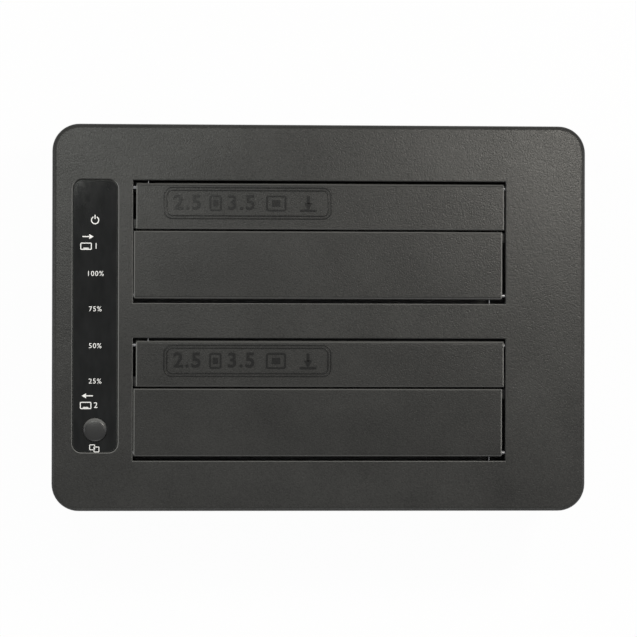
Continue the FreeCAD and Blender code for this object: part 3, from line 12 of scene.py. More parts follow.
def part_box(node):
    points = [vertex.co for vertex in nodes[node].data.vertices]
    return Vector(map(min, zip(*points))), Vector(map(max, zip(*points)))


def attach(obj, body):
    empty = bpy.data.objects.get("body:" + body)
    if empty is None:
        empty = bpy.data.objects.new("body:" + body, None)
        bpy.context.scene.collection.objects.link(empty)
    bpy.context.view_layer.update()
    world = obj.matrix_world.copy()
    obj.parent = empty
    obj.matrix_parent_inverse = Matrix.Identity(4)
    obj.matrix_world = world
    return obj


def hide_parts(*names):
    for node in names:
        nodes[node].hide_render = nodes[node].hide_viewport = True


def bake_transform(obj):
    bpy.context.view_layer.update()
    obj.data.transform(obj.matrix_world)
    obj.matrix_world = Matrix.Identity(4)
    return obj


MM = 0.001
SAME = 0.0001 * MM
BAYS = ("rear", "front")
HANDS = ("left", "right")
FLAP_KINDS = ("small", "large")
LEFT, RIGHT, UP = (-1, 0, 0), (1, 0, 0), (0, 0, 1)
FRONT, REAR = (0, -1, 0), (0, 1, 0)

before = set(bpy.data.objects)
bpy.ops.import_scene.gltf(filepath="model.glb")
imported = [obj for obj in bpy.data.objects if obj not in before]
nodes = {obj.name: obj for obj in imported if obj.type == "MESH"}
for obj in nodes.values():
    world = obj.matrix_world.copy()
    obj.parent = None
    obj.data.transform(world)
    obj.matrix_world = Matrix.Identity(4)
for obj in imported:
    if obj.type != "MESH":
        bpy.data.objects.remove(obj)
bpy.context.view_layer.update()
case_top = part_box("top_cover")[1].z
window_low, window_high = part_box("status_window")
window_x = (window_low.x + window_high.x) / 2


# Modelling by hand: pick, shape, finish.
def pick(*things):
    """Select only these objects, the first one active."""
    bpy.ops.object.select_all(action="DESELECT")
    for thing in things:
        thing.select_set(True)
    if things:
        bpy.context.view_layer.objects.active = things[0]


def edit(thing):
    """Open a piece for editing, all of it selected."""
    pick(thing)
    bpy.ops.object.mode_set(mode="EDIT")
    bpy.ops.mesh.select_all(action="SELECT")


def leave():
    bpy.ops.object.mode_set(mode="OBJECT")


def select_faces(thing, test):
    """In edit mode, select the faces whose middle and normal pass the test."""
    bpy.ops.mesh.select_mode(type="FACE")
    bpy.ops.mesh.select_all(action="DESELECT")
    leave()
    for face in thing.data.polygons:
        face.select = test(face.center, face.normal)
    bpy.ops.object.mode_set(mode="EDIT")


def select_points(thing, test):
    """In edit mode, select the points whose place passes the test."""
    bpy.ops.mesh.select_mode(type="VERT")
    bpy.ops.mesh.select_all(action="DESELECT")
    leave()
    for point in thing.data.vertices:
        point.select = test(point.co)
    bpy.ops.object.mode_set(mode="EDIT")


def settle(thing):
    """Put the place, turn and size of an object into its mesh."""
    pick(thing)
    bpy.ops.object.transform_apply(location=True, rotation=True, scale=True)


def tidy_faces(thing):
    edit(thing)
    bpy.ops.mesh.remove_doubles(threshold=SAME)
    bpy.ops.mesh.normals_make_consistent(inside=False)
    leave()


def finish_piece(thing, name, finish, body="root", smooth=30):
    """Name a finished piece, give it its material and let it ride on its body."""
    settle(thing)
    thing.name = name
    thing.data.materials.clear()
    thing.data.materials.append(finish)
    pick(thing)
    if smooth:
        bpy.ops.object.shade_smooth_by_angle(angle=radians(smooth))
    if body:
        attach(thing, body)
    return thing


def turned(name, rings, sides=64):
    """A round piece on the Z axis, drawn up ring by ring; each ring is (radius, height)."""
    pick()
    radius, height = rings[0]
    bpy.ops.mesh.primitive_circle_add(
        vertices=sides, radius=radius, fill_type="NGON", location=(0, 0, height)
    )
    thing = bpy.context.object
    thing.name = name
    settle(thing)
    edit(thing)
    for next_radius, next_height in rings[1:]:
        rise = (0, 0, next_height - height)
        bpy.ops.mesh.extrude_region_move(TRANSFORM_OT_translate={"value": rise})
        grow = next_radius / radius
        middle = (0, 0, next_height)
        bpy.ops.transform.resize(value=(grow, grow, 1), center_override=middle)
        radius, height = next_radius, next_height
    leave()
    tidy_faces(thing)
    return thing


def block(name, low, high):
    pick()
    middle = [(a + b) / 2 for a, b in zip(low, high)]
    bpy.ops.mesh.primitive_cube_add(size=1, location=middle)
    thing = bpy.context.object
    thing.name = name
    thing.scale = [b - a for a, b in zip(low, high)]
    settle(thing)
    return thing


def bevelled(thing, width, segments=2, angle=40):
    """Round the sharp edges of a piece with a bevel that is applied."""
    pick(thing)
    bevel = thing.modifiers.new("edge", "BEVEL")
    bevel.width = width
    bevel.segments = segments
    bevel.limit_method = "ANGLE"
    bevel.angle_limit = radians(angle)
    bpy.ops.object.modifier_apply(modifier=bevel.name)
    return thing


def cut_out(thing, tools):
    """Take the tools out of a piece, then drop them."""
    for tool in tools:
        pick(thing)
        cut = thing.modifiers.new("cut", "BOOLEAN")
        cut.operation = "DIFFERENCE"
        cut.solver = "EXACT"
        cut.object = tool
        bpy.ops.object.modifier_apply(modifier=cut.name)
        bpy.data.objects.remove(tool)
    return thing


def copies(thing, spots, turn=0):
    """Copies of a piece at each spot, each with its own mesh; the first is the piece."""
    made = []
    for spot in spots:
        twin = thing.copy()
        twin.data = thing.data.copy()
        bpy.context.collection.objects.link(twin)
        twin.location = spot
        twin.rotation_euler = (turn, 0, 0)
        settle(twin)
        made.append(twin)
    bpy.data.objects.remove(thing)
    return made


def merged(things):
    pick(*things)
    bpy.ops.object.join()
    return bpy.context.object


def solids_of(node):
    """Lowest and highest corners of each separate solid of a node."""
    twin = nodes[node].copy()
    twin.data = nodes[node].data.copy()
    bpy.context.collection.objects.link(twin)
    edit(twin)
    bpy.ops.mesh.remove_doubles(threshold=SAME)
    bpy.ops.mesh.separate(type="LOOSE")
    leave()
    found = []
    for part in list(bpy.context.selected_objects):
        points = [part.matrix_world @ point.co for point in part.data.vertices]
        low = Vector([min(p[axis] for p in points) for axis in range(3)])
        high = Vector([max(p[axis] for p in points) for axis in range(3)])
        found.append((low, high))
        bpy.data.objects.remove(part)
    return found


# Finishes.
class Finish:
    """A node material: a plain shader, and helpers to build what feeds it."""

    def __init__(self, name, colour, roughness, metallic=0.0, **sockets):
        self.material = bpy.data.materials.new(name)
        self.material.use_nodes = True
        self.tree = self.material.node_tree
        self.shader = self.tree.nodes["Principled BSDF"]
        self.shader.inputs["Base Color"].default_value = (*colour, 1)
        self.shader.inputs["Roughness"].default_value = roughness
        self.shader.inputs["Metallic"].default_value = metallic
        for socket, amount in sockets.items():
            self.shader.inputs[socket.replace("_", " ")].default_value = amount
        self.place = self.tree.nodes.new("ShaderNodeTexCoord").outputs["Object"]

    def add(self, kind, inputs=(), **settings):
        made = self.tree.nodes.new(kind)
        for setting, amount in settings.items():
            setattr(made, setting, amount)
        for socket, amount in dict(inputs).items():
            if isinstance(amount, bpy.types.NodeSocket):
                self.tree.links.new(amount, made.inputs[socket])
            else:
                made.inputs[socket].default_value = amount
        return made

    def noise(self, scale, detail=2.0, stretch=(1, 1, 1)):
        place = self.add("ShaderNodeMapping", {"Vector": self.place, "Scale": stretch})
        inputs = {"Vector": place.outputs[0], "Scale": scale, "Detail": detail}
        return self.add("ShaderNodeTexNoise", inputs).outputs[0]

    def spread(self, source, low, high):
        """Turn a 0 to 1 pattern into a range of values."""
        inputs = {"Value": source, "From Min": 0.3, "From Max": 0.7}
        inputs.update({"To Min": low, "To Max": high})
        return self.add("ShaderNodeMapRange", inputs).outputs[0]

    def feed(self, socket, source):
        """Let a pattern set one of the shader's inputs."""
        self.tree.links.new(source, self.shader.inputs[socket])

    def mix_colours(self, share, first, second):
        mix = self.add("ShaderNodeMix", {0: share, 6: first, 7: second}, data_type="RGBA")
        self.feed("Base Color", mix.outputs[2])

    def tint(self, source, dark, light):
        """Colour between two tints by a pattern."""
        self.mix_colours(source, (*dark, 1), (*light, 1))

    def math(self, operation, *amounts):
        return self.add("ShaderNodeMath", enumerate(amounts), operation=operation).outputs[0]

    def both(self, one, other):
        """1 where both masks are 1."""
        return self.math("MULTIPLY", one, other)

    def facing(self, direction, start, full):
        """Rises from 0 to 1 as the surface turns to face a direction."""
        normal = self.add("ShaderNodeTexCoord").outputs["Normal"]
        inputs = {0: normal, 1: direction}
        share = self.add("ShaderNodeVectorMath", inputs, operation="DOT_PRODUCT").outputs["Value"]
        inputs = {"Value": share, "From Min": start, "From Max": full}
        return self.add("ShaderNodeMapRange", inputs).outputs[0]

    def between(self, low, high, axis=0):
        """1 between two places along an axis, 0 outside them."""
        along = self.add("ShaderNodeSeparateXYZ", {"Vector": self.place}).outputs[axis]
        past = self.math("GREATER_THAN", along, low)
        before = self.math("LESS_THAN", along, high)
        return self.both(past, before)

    def paint_highlight(self, where, light):
        """Painted highlight: lighter colour where a mask is 1, over what feeds the colour
        already.
        """
        base = self.shader.inputs["Base Color"].links[0].from_socket
        self.mix_colours(where, base, (*light, 1))

    def bump(self, source, height, strength=1.0):
        inputs = {"Height": source, "Distance": height, "Strength": strength}
        self.feed("Normal", self.add("ShaderNodeBump", inputs).outputs[0])


def shades(colour, spread):
    """A darker and a lighter tint of a colour."""
    return [part * (1 - spread) for part in colour], [part * (1 + spread) for part in colour]


def moulded(name, colour, roughness, grain, depth, spread=0.12, **sockets):
    """Textured moulded plastic: fine grain in the surface, faint clouds in the colour."""
    finish = Finish(name, colour, roughness, **sockets)
    dark, light = shades(colour, spread)
    cloud = finish.noise(55, 3)
    speckle = finish.noise(grain, 2)
    mean = finish.math("MULTIPLY", finish.math("ADD", cloud, speckle), 0.5)
    finish.tint(finish.spread(mean, 0, 1), dark, light)
    finish.feed("Roughness", finish.spread(speckle, roughness - 0.05, roughness + 0.05))
    finish.bump(speckle, depth)
    return finish


def metal(name, colour, roughness, stretch=(1, 1, 1), grain=3000):
    """Bare or plated metal with fine drawn lines."""
    finish = Finish(name, colour, roughness, metallic=1.0)
    dark, light = shades(colour, 0.1)
    lines = finish.noise(grain, 2, stretch)
    finish.tint(lines, dark, light)
    finish.feed("Roughness", finish.spread(lines, roughness - 0.06, roughness + 0.08))
    finish.bump(lines, POLISHED)
    return finish.material


def housing_plastic():
    """Textured black, with painted highlights on the rims of the slots and the window."""
    finish = moulded("housing_black", BLACK, 0.3, 2700, COARSE, 0.36, **SHEEN)
    # Painted highlights: lighter colour on the rims facing right in the left half, on the rim
    # beside the window, and on the rounding at the slot fronts.
    left_rims = finish.both(finish.facing(RIGHT, 0.3, 0.6), finish.between(*LEFT_HALF))
    finish.paint_highlight(left_rims, (0.11, 0.11, 0.107))
    window_rim = finish.both(finish.facing(LEFT, 0.3, 0.6), finish.between(*BESIDE_WINDOW))
    finish.paint_highlight(window_rim, (0.2, 0.2, 0.195))
    over_slots = finish.both(finish.between(*SLOTS_ACROSS), finish.between(*SLOT_FRONTS, 1))
    rounding = finish.both(finish.facing(REAR, 0.3, 0.6), finish.facing(UP, 0.15, 0.4))
    finish.paint_highlight(finish.both(rounding, over_slots), (0.17, 0.17, 0.166))
    return finish


def flap_plastic():
    """The same black, with the light that the edges of the flaps catch."""
    finish = moulded("flap_black", FLAP_BLACK, 0.29, 2800, COARSE, 0.36, **SHEEN)
    # Painted highlights: lighter colour on the edge faces that face left, right, rear and front.
    for side, light in ((LEFT, 0.2), (RIGHT, 0.2), (REAR, 0.12), (FRONT, 0.07)):
        finish.paint_highlight(finish.facing(side, 0.4, 0.65), (light, light, light * 0.975))
    return finish


def button_plastic():
    """Glossier black, with a painted highlight where the crown slopes to the rear."""
    black = (0.005, 0.005, 0.005)
    finish = moulded("button_black", black, 0.33, 4200, SMOOTH, Specular_IOR_Level=0.36)
    # Painted highlight: lighter colour on the faces of the crown that slope to the rear.
    finish.paint_highlight(finish.facing(REAR, 0.08, 0.5), (0.13, 0.13, 0.127))
    return finish


# Ends of the stretches of the housing where the rims get painted highlights; the last pair is
# along Y.
LEFT_HALF, BESIDE_WINDOW = (-73 * MM, 0), (-58 * MM, -54 * MM)
SLOTS_ACROSS, SLOT_FRONTS = (-73 * MM, 53 * MM), (-42 * MM, 6 * MM)
# Depths of the grain in a surface.
COARSE, OPEN, EVEN = 0.06 * MM, 0.04 * MM, 0.03 * MM
FINE, SMOOTH, POLISHED = 0.02 * MM, 0.01 * MM, 0.004 * MM
BLACK, FLAP_BLACK = (0.026, 0.026, 0.025), (0.0225, 0.0225, 0.0216)
SHEEN = {"Specular_IOR_Level": 0.16}
HOUSING = housing_plastic().material
FLAP = flap_plastic().material
# Raised marks: the flaps' own plastic, a little glossier; their much darker colour is painted
# shade.
SHADED_EMBOSS = moulded("embossed_black", (0.007, 0.007, 0.0068), 0.26, 3800, FINE, **SHEEN).material
GUIDE = moulded("guide_black", (0.018, 0.018, 0.018), 0.38, 1800, SMOOTH).material
RUBBER = moulded("rubber_black", (0.02, 0.02, 0.02), 0.8, 3500, OPEN).material
KEYCAP = button_plastic().material
NYLON = moulded("connector_black", (0.02, 0.02, 0.02), 0.42, 2400, FINE).material
SWITCH = moulded("switch_white", (0.62, 0.62, 0.6), 0.45, 2000, SMOOTH, 0.04).material
CREAM = moulded("header_cream", (0.62, 0.57, 0.45), 0.5, 2200, SMOOTH, 0.05).material
INSERT = moulded("port_insert", (0.015, 0.08, 0.4), 0.4, 2200, SMOOTH).material
CHIP = moulded("chip_black", (0.02, 0.02, 0.021), 0.55, 5200, FINE).material
FERRITE = moulded("inductor_grey", (0.1, 0.1, 0.1), 0.6, 3000, EVEN).material
SLEEVE = moulded("capacitor_sleeve", (0.03, 0.032, 0.045), 0.3, 900, POLISHED).material
PRINT = moulded("printed_white", (0.85, 0.85, 0.84), 0.6, 5000, POLISHED / 2, 0.04).material
SPRING = metal("spring_steel", (0.16, 0.16, 0.165), 0.34, (8, 1, 1))
PIN = metal("pin_steel", (0.14, 0.14, 0.145), 0.38, (0.1, 3, 3))
ZINC = metal("screw_steel", (0.45, 0.45, 0.46), 0.36)
NICKEL = metal("port_metal", (0.66, 0.65, 0.63), 0.3, (1, 0.1, 1))
CAN = metal("crystal_metal", (0.62, 0.62, 0.6), 0.3)
GOLD = metal("contact_gold", (0.83, 0.62, 0.25), 0.3)


def smoked_acrylic():
    """Polished smoked acrylic, with a faint ripple and dust-fine wear in the gloss."""
    smoke = (0.004, 0.0045, 0.0045)
    finish = Finish("smoked_window", smoke, 0.1, Specular_IOR_Level=0.17)
    dark, light = shades(smoke, 0.25)
    ripple = finish.noise(60, 1)
    wear = finish.noise(900, 4, (1, 0.4, 1))
    finish.tint(ripple, dark, light)
    # Painted highlight: lighter colour on the rim and sides, where the surface turns away from
    # straight up.
    finish.paint_highlight(finish.facing(UP, 0.95, 0.8), (0.045, 0.047, 0.046))
    finish.feed("Roughness", finish.spread(wear, 0.06, 0.085))
    gloss = finish.spread(finish.noise(420, 3, (1, 0.35, 1)), 0.135, 0.205)
    finish.feed("Specular IOR Level", gloss)
    finish.bump(ripple, POLISHED, 0.3)
    return finish.material


def solder_mask():
    """Green circuit board: tracks show as lighter lines under the mask."""
    finish = Finish("board_green", (0.015, 0.11, 0.045), 0.35, Coat_Weight=0.3)
    place = finish.add("ShaderNodeMapping", {"Vector": finish.place, "Scale": (1, 1, 0)})
    inputs = {"Vector": place.outputs[0], "Scale": 260, "Mortar Size": 0.03}
    inputs.update({"Color1": (0, 0, 0, 1), "Color2": (0, 0, 0, 1), "Mortar": (1, 1, 1, 1)})
    tracks = finish.add("ShaderNodeTexBrick", inputs).outputs["Color"]
    finish.tint(tracks, (0.012, 0.1, 0.04), (0.03, 0.19, 0.07))
    finish.bump(tracks, EVEN, 0.6)
    return finish.material


def lamp_lens():
    finish = Finish("lamp_lens", (0.75, 0.77, 0.8), 0.15, Specular_IOR_Level=0.5)
    glow = finish.noise(1500, 2)
    finish.tint(glow, (0.68, 0.7, 0.74), (0.82, 0.84, 0.86))
    finish.feed("Roughness", finish.spread(glow, 0.1, 0.22))
    return finish.material


def ribbon():
    """Flat lead: side by side conductors, ribbed across its width."""
    finish = Finish("ribbon_grey", (0.33, 0.33, 0.34), 0.5)
    place = finish.add("ShaderNodeMapping", {"Vector": finish.place, "Rotation": (0, 0, pi / 2)})
    waves = finish.add("ShaderNodeTexWave", {"Vector": place.outputs[0], "Scale": 160.0})
    finish.tint(waves.outputs[1], (0.22, 0.22, 0.23), (0.4, 0.4, 0.41))
    finish.bump(waves.outputs[1], 0.2 * MM)
    return finish.material


WINDOW = smoked_acrylic()
BOARD = solder_mask()
LENS = lamp_lens()
RIBBON = ribbon()

FINISHES = {
    HOUSING: ["top_cover", "base_cover"],
    WINDOW: ["status_window"],
    BOARD: ["main_board", "panel_board"],
    LENS: ["status_leds"],
    RIBBON: ["panel_lead"],
    KEYCAP: ["clone_button"],
    SWITCH: ["clone_switch_plunger", "light_guide"],
    NYLON: ["clone_switch", "power_inlet", "power_switch_body", "power_switch_rocker"],
    CREAM: ["board_header", "panel_header"],
    NICKEL: ["usb_port_shell", "power_inlet_pin"],
    INSERT: ["usb_port_insert"],
    CHIP: ["controller_chip", "memory_chip"],
    CAN: ["crystal"],
    SLEEVE: ["capacitors"],
    FERRITE: ["inductors"],
    ZINC: ["housing_screws", "board_screws", "bay_guide_screws", "panel_screws"],
    GUIDE: [f"{bay}_bay_guide" for bay in BAYS],
    GOLD: [f"{bay}_socket_contacts" for bay in BAYS],
    PIN: [f"{bay}_{kind}_flap_pin" for bay in BAYS for kind in FLAP_KINDS],
    SPRING: [f"{bay}_{kind}_flap_spring" for bay in BAYS for kind in FLAP_KINDS],
    FLAP: [f"{bay}_{kind}_flap" for bay in BAYS for kind in FLAP_KINDS],
    RUBBER: [f"{end}_{hand}_foot" for end in BAYS for hand in HANDS],
}
FINISHES[NYLON] += [f"{bay}_drive_socket" for bay in BAYS]
for finish, names in FINISHES.items():
    for name in names:
        data = nodes[name].data
        data.materials.clear()
        data.materials.append(finish)


# Raised and printed marks.
INK, RELIEF = 0.02 * MM, 0.25 * MM
PILL_X, PILL_SHIFT = -20.25 * MM, 0.8 * MM


def lettering(text, middle, size, height, finish, name, body="root", bold=0.0):
    """Plain numerals that stand a little above a face."""
    pick()
    bpy.ops.object.text_add(location=middle)
    thing = bpy.context.object
    thing.data.body = text
    thing.data.size = size
    thing.data.align_x = "CENTER"
    thing.data.align_y = "CENTER"
    thing.data.space_character = 1.15
    thing.data.offset = bold
    thing.data.resolution_u = 4
    thing.data.extrude = height / 2
    pick(thing)
    bpy.ops.object.convert(target="MESH")
    thing = bpy.context.object
    tidy_faces(thing)
    return finish_piece(thing, name, finish, body)


def outline(middle, width, depth, line, height, corner, name):
    """A thin raised frame with round corners, its foot at the given middle."""
    pick()
    bpy.ops.mesh.primitive_plane_add(size=1, location=middle)
    thing = bpy.context.object
    thing.name = name
    thing.scale = (width, depth, 1)
    settle(thing)
    edit(thing)
    bpy.ops.mesh.bevel(offset=corner, segments=10, affect="VERTICES")
    bpy.ops.mesh.remove_doubles(threshold=SAME)
    bpy.ops.mesh.select_mode(type="FACE")
    bpy.ops.mesh.select_all(action="SELECT")
    bpy.ops.mesh.inset(thickness=line)
    bpy.ops.mesh.delete(type="FACE")
    bpy.ops.mesh.select_all(action="SELECT")
    bpy.ops.mesh.extrude_region_move(TRANSFORM_OT_translate={"value": (0, 0, height)})
    leave()
    tidy_faces(thing)
    return thing


def bar(middle, width, depth, height, name):
    """A thin raised bar, its foot at the given middle."""
    x, y, z = middle
    low = (x - width / 2, y - depth / 2, z)
    return block(name, low, (x + width / 2, y + depth / 2, z + height))


def triangle(middle, size, height, turn, name):
    """A thin raised arrow head."""
    pick()
    bpy.ops.mesh.primitive_circle_add(vertices=3, radius=size, fill_type="NGON", location=middle)
    thing = bpy.context.object
    thing.name = name
    thing.rotation_euler = (0, 0, turn)
    settle(thing)
    edit(thing)
    bpy.ops.mesh.extrude_region_move(TRANSFORM_OT_translate={"value": (0, 0, height)})
    leave()
    tidy_faces(thing)
    return thing


def round_ring(middle, width, line, name):
    """A thin raised ring: a frame whose corners all but meet."""
    return outline(middle, width, width, line, INK, width / 2 - 0.001 * MM, name)


def on_window(x, y, rise=0.0):
    """A place on the window, in millimetres from its middle line and from the origin."""
    return (window_x + x * MM, y * MM, window_high.z + rise)


def open_ring(ring, x, y):
    """Open a ring at its top, round x and above y, where the stem of the power sign stands."""
    half_gap = 0.5 * MM
    edit(ring)
    select_faces(ring, lambda c, n: abs(c.x - x) < half_gap and c.y > y)
    bpy.ops.mesh.delete(type="FACE")
    leave()


def print_power():
    """Ring open at its top, with a stem in the gap."""
    x, y, line = -0.1, 27.2, 0.28 * MM
    ring = round_ring(on_window(x, y), 2.3 * MM, line, "ring")
    open_ring(ring, window_x + x * MM, (y + 0.6) * MM)
    stem = bar(on_window(x, y + 0.9), line, 1.2 * MM, INK, "stem")
    finish_piece(merged([ring, stem]), "mark_power", PRINT, smooth=0)


def print_drive(name, number, y, side):
    """Arrow, drive and number of a bay; side is 1 for an arrow to the right, -1 to the left."""
    arrow_x, drive_x, number_x = -2.1, -2.6, 0.2
    shaft = bar(on_window(arrow_x - side * 0.5, y), 2.0 * MM, 0.3 * MM, INK, "shaft")
    head = triangle(on_window(arrow_x + side * 0.8, y), 0.8 * MM, INK, -side * pi / 2, "head")
    finish_piece(merged([shaft, head]), f"mark_{name}_arrow", PRINT, smooth=0)
    y -= 2.7
    line = 0.25 * MM
    drive = outline(on_window(drive_x, y), 3.2 * MM, 2.0 * MM, line, INK, 0.35 * MM, "drive")
    plug = bar(on_window(drive_x, y - 0.55), 1.5 * MM, line, INK, "plug")
    finish_piece(merged([drive, plug]), f"mark_{name}_drive", PRINT, smooth=0)
    spot = on_window(number_x, y, INK / 2)
    lettering(number, spot, 2.3 * MM, INK, PRINT, f"mark_{name}_number")


def print_clone():
    """Two sheets, one half over the other."""
    side, line, corner = 1.6 * MM, 0.22 * MM, 0.25 * MM
    back = outline(on_window(-0.75, -36.35), side, side, line, INK, corner, "back")
    front = outline(on_window(0.45, -36.95), side, side, line, INK, corner, "front")
    finish_piece(merged([back, front]), "mark_clone", PRINT, smooth=0)


def print_window():
    """White marks on the window: power, source drive, target drive, scale, clone."""
    print_power()
    print_drive("source", "1", 22.6, 1)
    print_drive("target", "2", -21.95, -1)
    for number, y in (("100%", 12.2), ("75%", 2.3), ("50%", -8.0), ("25%", -17.9)):
        name = f"mark_scale_{number[:-1]}"
        lettering(number, on_window(0, y, INK / 2), 2.0 * MM, INK, PRINT, name)
    print_clone()


def emboss_flap(bay):
    """Raised pill outline with drive sizes and pictograms on a small flap."""
    node = f"{bay}_small_flap"
    low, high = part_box(node)
    middle_y = (low.y + high.y) / 2 + PILL_SHIFT

    def at(x, y=0, rise=0.0):
        """A place on the flap, in millimetres from the middle of the pill."""
        return (PILL_X + x * MM, middle_y + y * MM, high.z + rise)

    frames = [
        outline(at(0), width * MM, depth * MM, 0.3 * MM, RELIEF, corner * MM, name)
        for name, width, depth, corner in (("outer", 47.1, 9.0, 2.4), ("inner", 45.5, 7.4, 1.7))
    ]
    finish_piece(bevelled(merged(frames), 0.08 * MM), f"{bay}_flap_pill", SHADED_EMBOSS, node)
    for text, x, name in (("2.5", -16.9, "small"), ("3.5", -1.8, "large")):
        spot, name = at(x, 0, RELIEF / 2), f"{bay}_flap_{name}_size"
        lettering(text, spot, 5.8 * MM, RELIEF, SHADED_EMBOSS, name, node, 0.1 * MM)
    sign_x = 17.0
    shaft = bar(at(sign_x, 1.0), 0.7 * MM, 2.2 * MM, RELIEF, "shaft")
    head = triangle(at(sign_x, -0.5), 1.3 * MM, RELIEF, pi, "head")
    rest = bar(at(sign_x, -2.0), 4.6 * MM, 0.6 * MM, RELIEF, "rest")
    finish_piece(merged([shaft, head, rest]), f"{bay}_flap_insert_sign", SHADED_EMBOSS, node)
    for x, width, depth, name in ((-9.0, 3.4, 4.4, "small"), (8.0, 5.6, 4.4, "large")):
        case = outline(at(x), width * MM, depth * MM, 0.45 * MM, RELIEF, 0.6 * MM, "case")
        label = bar(at(x), width * 0.4 * MM, depth * 0.4 * MM, RELIEF, "label")
        finish_piece(merged([case, label]), f"{bay}_flap_{name}_drive", SHADED_EMBOSS, node)


def dress_button():
    """Cap in place of the plain one: stem, collar under the window, rounded crown."""
    low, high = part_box("clone_button")
    stem, collar, wall = 1.6 * MM, 4.5 * MM, 3.35 * MM
    collar_top = window_low.z - 0.05 * MM
    collar_foot = collar_top - 1.0 * MM
    shoulder = high.z - 0.85 * MM
    rings = [(stem, low.z), (stem, collar_foot), (collar, collar_foot), (collar, collar_top)]
    rings += [(wall, collar_top), (wall, shoulder)]
    steps, sweep, reach, rise = 12, radians(72), 1.2 * MM, 0.75 * MM
    for step in range(1, steps + 1):
        angle = step / steps * sweep
        rings.append((wall - reach * (1 - cos(angle)), shoulder + rise * sin(angle)))
    radius, edge = rings[-1]
    for share in (0.85, 0.65, 0.4, 0.15):
        rings.append((radius * share, edge + (high.z - edge) * (1 - share * share)))
    cap = turned("cap", rings, 96)
    cap.location = ((low.x + high.x) / 2, (low.y + high.y) / 2, 0)
    finish_piece(cap, "clone_button_cap", KEYCAP, "clone_button", 35)
    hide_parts("clone_button")


def sign_rocker():
    """On and off marks, one on each half of the power rocker; off is the half pressed in.

    Each stands on its half at (x, y) from the pivot, in millimetres, and leans with it.
    """
    pivot = Vector((-30 * MM, 52.65 * MM, 17 * MM))
    line, width = 0.45 * MM, 2.4 * MM
    stroke = bar((0, 0, 0), line, width, INK, "stroke")
    ring = round_ring((0, 0, 0), width, line, "ring")
    upright = Matrix.Rotation(-pi / 2, 4, "X")
    raised = (-2.6, 2.017, -0.2689)
    pressed = (2.6, 1.3, 0.0)
    for sign, name, (x, y, lean) in ((stroke, "on", raised), (ring, "off", pressed)):
        spot = Matrix.Translation(pivot + Vector((x, y, 0)) * MM)
        sign.matrix_world = spot @ Matrix.Rotation(lean, 4, "Z") @ upright
        finish_piece(sign, f"mark_power_{name}", PRINT, "power_rocker", 0)


def wind_spring(bay, kind):
    """Torsion spring: three turns round the pin, one leg to the guide, one to the flap."""
    name = f"{bay}_{kind}_flap_spring"
    low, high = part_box(name)
    pin_low, pin_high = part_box(f"{bay}_{kind}_flap_pin")
    side = 1 if kind == "small" else -1
    axis_y = (pin_low.y + pin_high.y) / 2
    axis_z = (pin_low.z + pin_high.z) / 2
    wire, coil, pitch, turns = 0.175 * MM, 0.9 * MM, 0.35 * MM, 3
    start = (low.x if side > 0 else high.x) + side * wire
    pick()
    bpy.ops.mesh.primitive_circle_add(
        vertices=12, radius=wire, location=(0, 0, -coil), rotation=(pi / 2, 0, 0)
    )
    thing = bpy.context.object
    settle(thing)
    screw = thing.modifiers.new("coil", "SCREW")
    screw.axis = "X"
    screw.angle = -2 * pi
    screw.screw_offset = pitch
    screw.iterations = turns
    screw.steps = screw.render_steps = 28
    screw.use_merge_vertices = False
    bpy.ops.object.modifier_apply(modifier=screw.name)
    near = wire * 1.05
    fixed_leg, moving_leg = (0.0, 4.5 * MM), (turns * pitch, -6.3 * MM)
    for x, reach in (fixed_leg, moving_leg):
        edit(thing)
        select_points(thing, lambda p: abs(p.y) < SAME and p.z < 0 and abs(p.x - x) < near)
        pull = {"value": (0, reach, 0)}
        bpy.ops.mesh.select_mode(type="EDGE")
        bpy.ops.mesh.extrude_region_move(TRANSFORM_OT_translate=pull)
        bpy.ops.mesh.edge_face_add()
        leave()
    thing.location = (start, axis_y, axis_z)
    thing.rotation_euler = (0, 0, 0 if side > 0 else pi)
    settle(thing)
    tidy_faces(thing)
    finish_piece(thing, f"{name}_wire", SPRING, None, 40)
    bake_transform(thing)
    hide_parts(name)


def make_screw(radius, length, head_radius, head_height):
    """Pan-head screw on the Z axis, head up: cross recess, ridged shank, point."""
    tip, root, ridge = radius * 0.3, radius * 0.8, radius * 0.6
    thread_foot = -length + radius
    rings = [(tip, -length), (root, thread_foot)]
    for step in range(int((length - radius) / ridge)):
        foot = thread_foot + step * ridge
        rings += [(root, foot + ridge * 0.3), (radius, foot + ridge * 0.65)]
    rings += [(root, 0), (head_radius, 0), (head_radius, head_height * 0.45)]
    rings += [(head_radius * 0.88, head_height * 0.8), (head_radius * 0.6, head_height)]
    thing = turned("screw", rings, 24)
    wide, narrow = head_radius * 0.55, head_radius * 0.13
    deep = head_height * 0.35
    arms = [
        block("arm", (-x, -y, deep), (x, y, head_height * 1.5))
        for x, y in ((wide, narrow), (narrow, wide))
    ]
    return cut_out(thing, arms)


def dress_screws(node, points_up, radius, head_height):
    """Detailed screws in place of the plain ones of a node, heads down or up."""
    spots = solids_of(node)
    low, high = spots[0]
    head_radius = (high.x - low.x) / 2
    length = high.z - low.z - head_height
    screw = make_screw(radius, length, head_radius, head_height)
    places = []
    for low, high in spots:
        seat = low.z + head_height if points_up else high.z - head_height
        places.append(((low.x + high.x) / 2, (low.y + high.y) / 2, seat))
    made = merged(copies(screw, places, pi if points_up else 0))
    finish_piece(made, f"{node}_detail", ZINC)
    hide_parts(node)


def dress_feet():
    """Rubber feet with a rounded edge and a shallow dish."""
    for end in BAYS:
        for hand in HANDS:
            node = f"{end}_{hand}_foot"
            low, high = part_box(node)
            radius = (high.x - low.x) / 2
            dish = [(radius * 0.35, 0.25 * MM), (radius * 0.62, 0.0)]
            edge = [(radius * 0.9, 0.0), (radius * 0.97, 0.15 * MM), (radius, 0.5 * MM)]
            rings = dish + edge + [(radius, high.z)]
            foot = turned(node, rings, 72)
            foot.location = ((low.x + high.x) / 2, (low.y + high.y) / 2, 0)
            finish_piece(foot, f"{node}_pad", RUBBER, "root", 50)
            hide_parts(node)


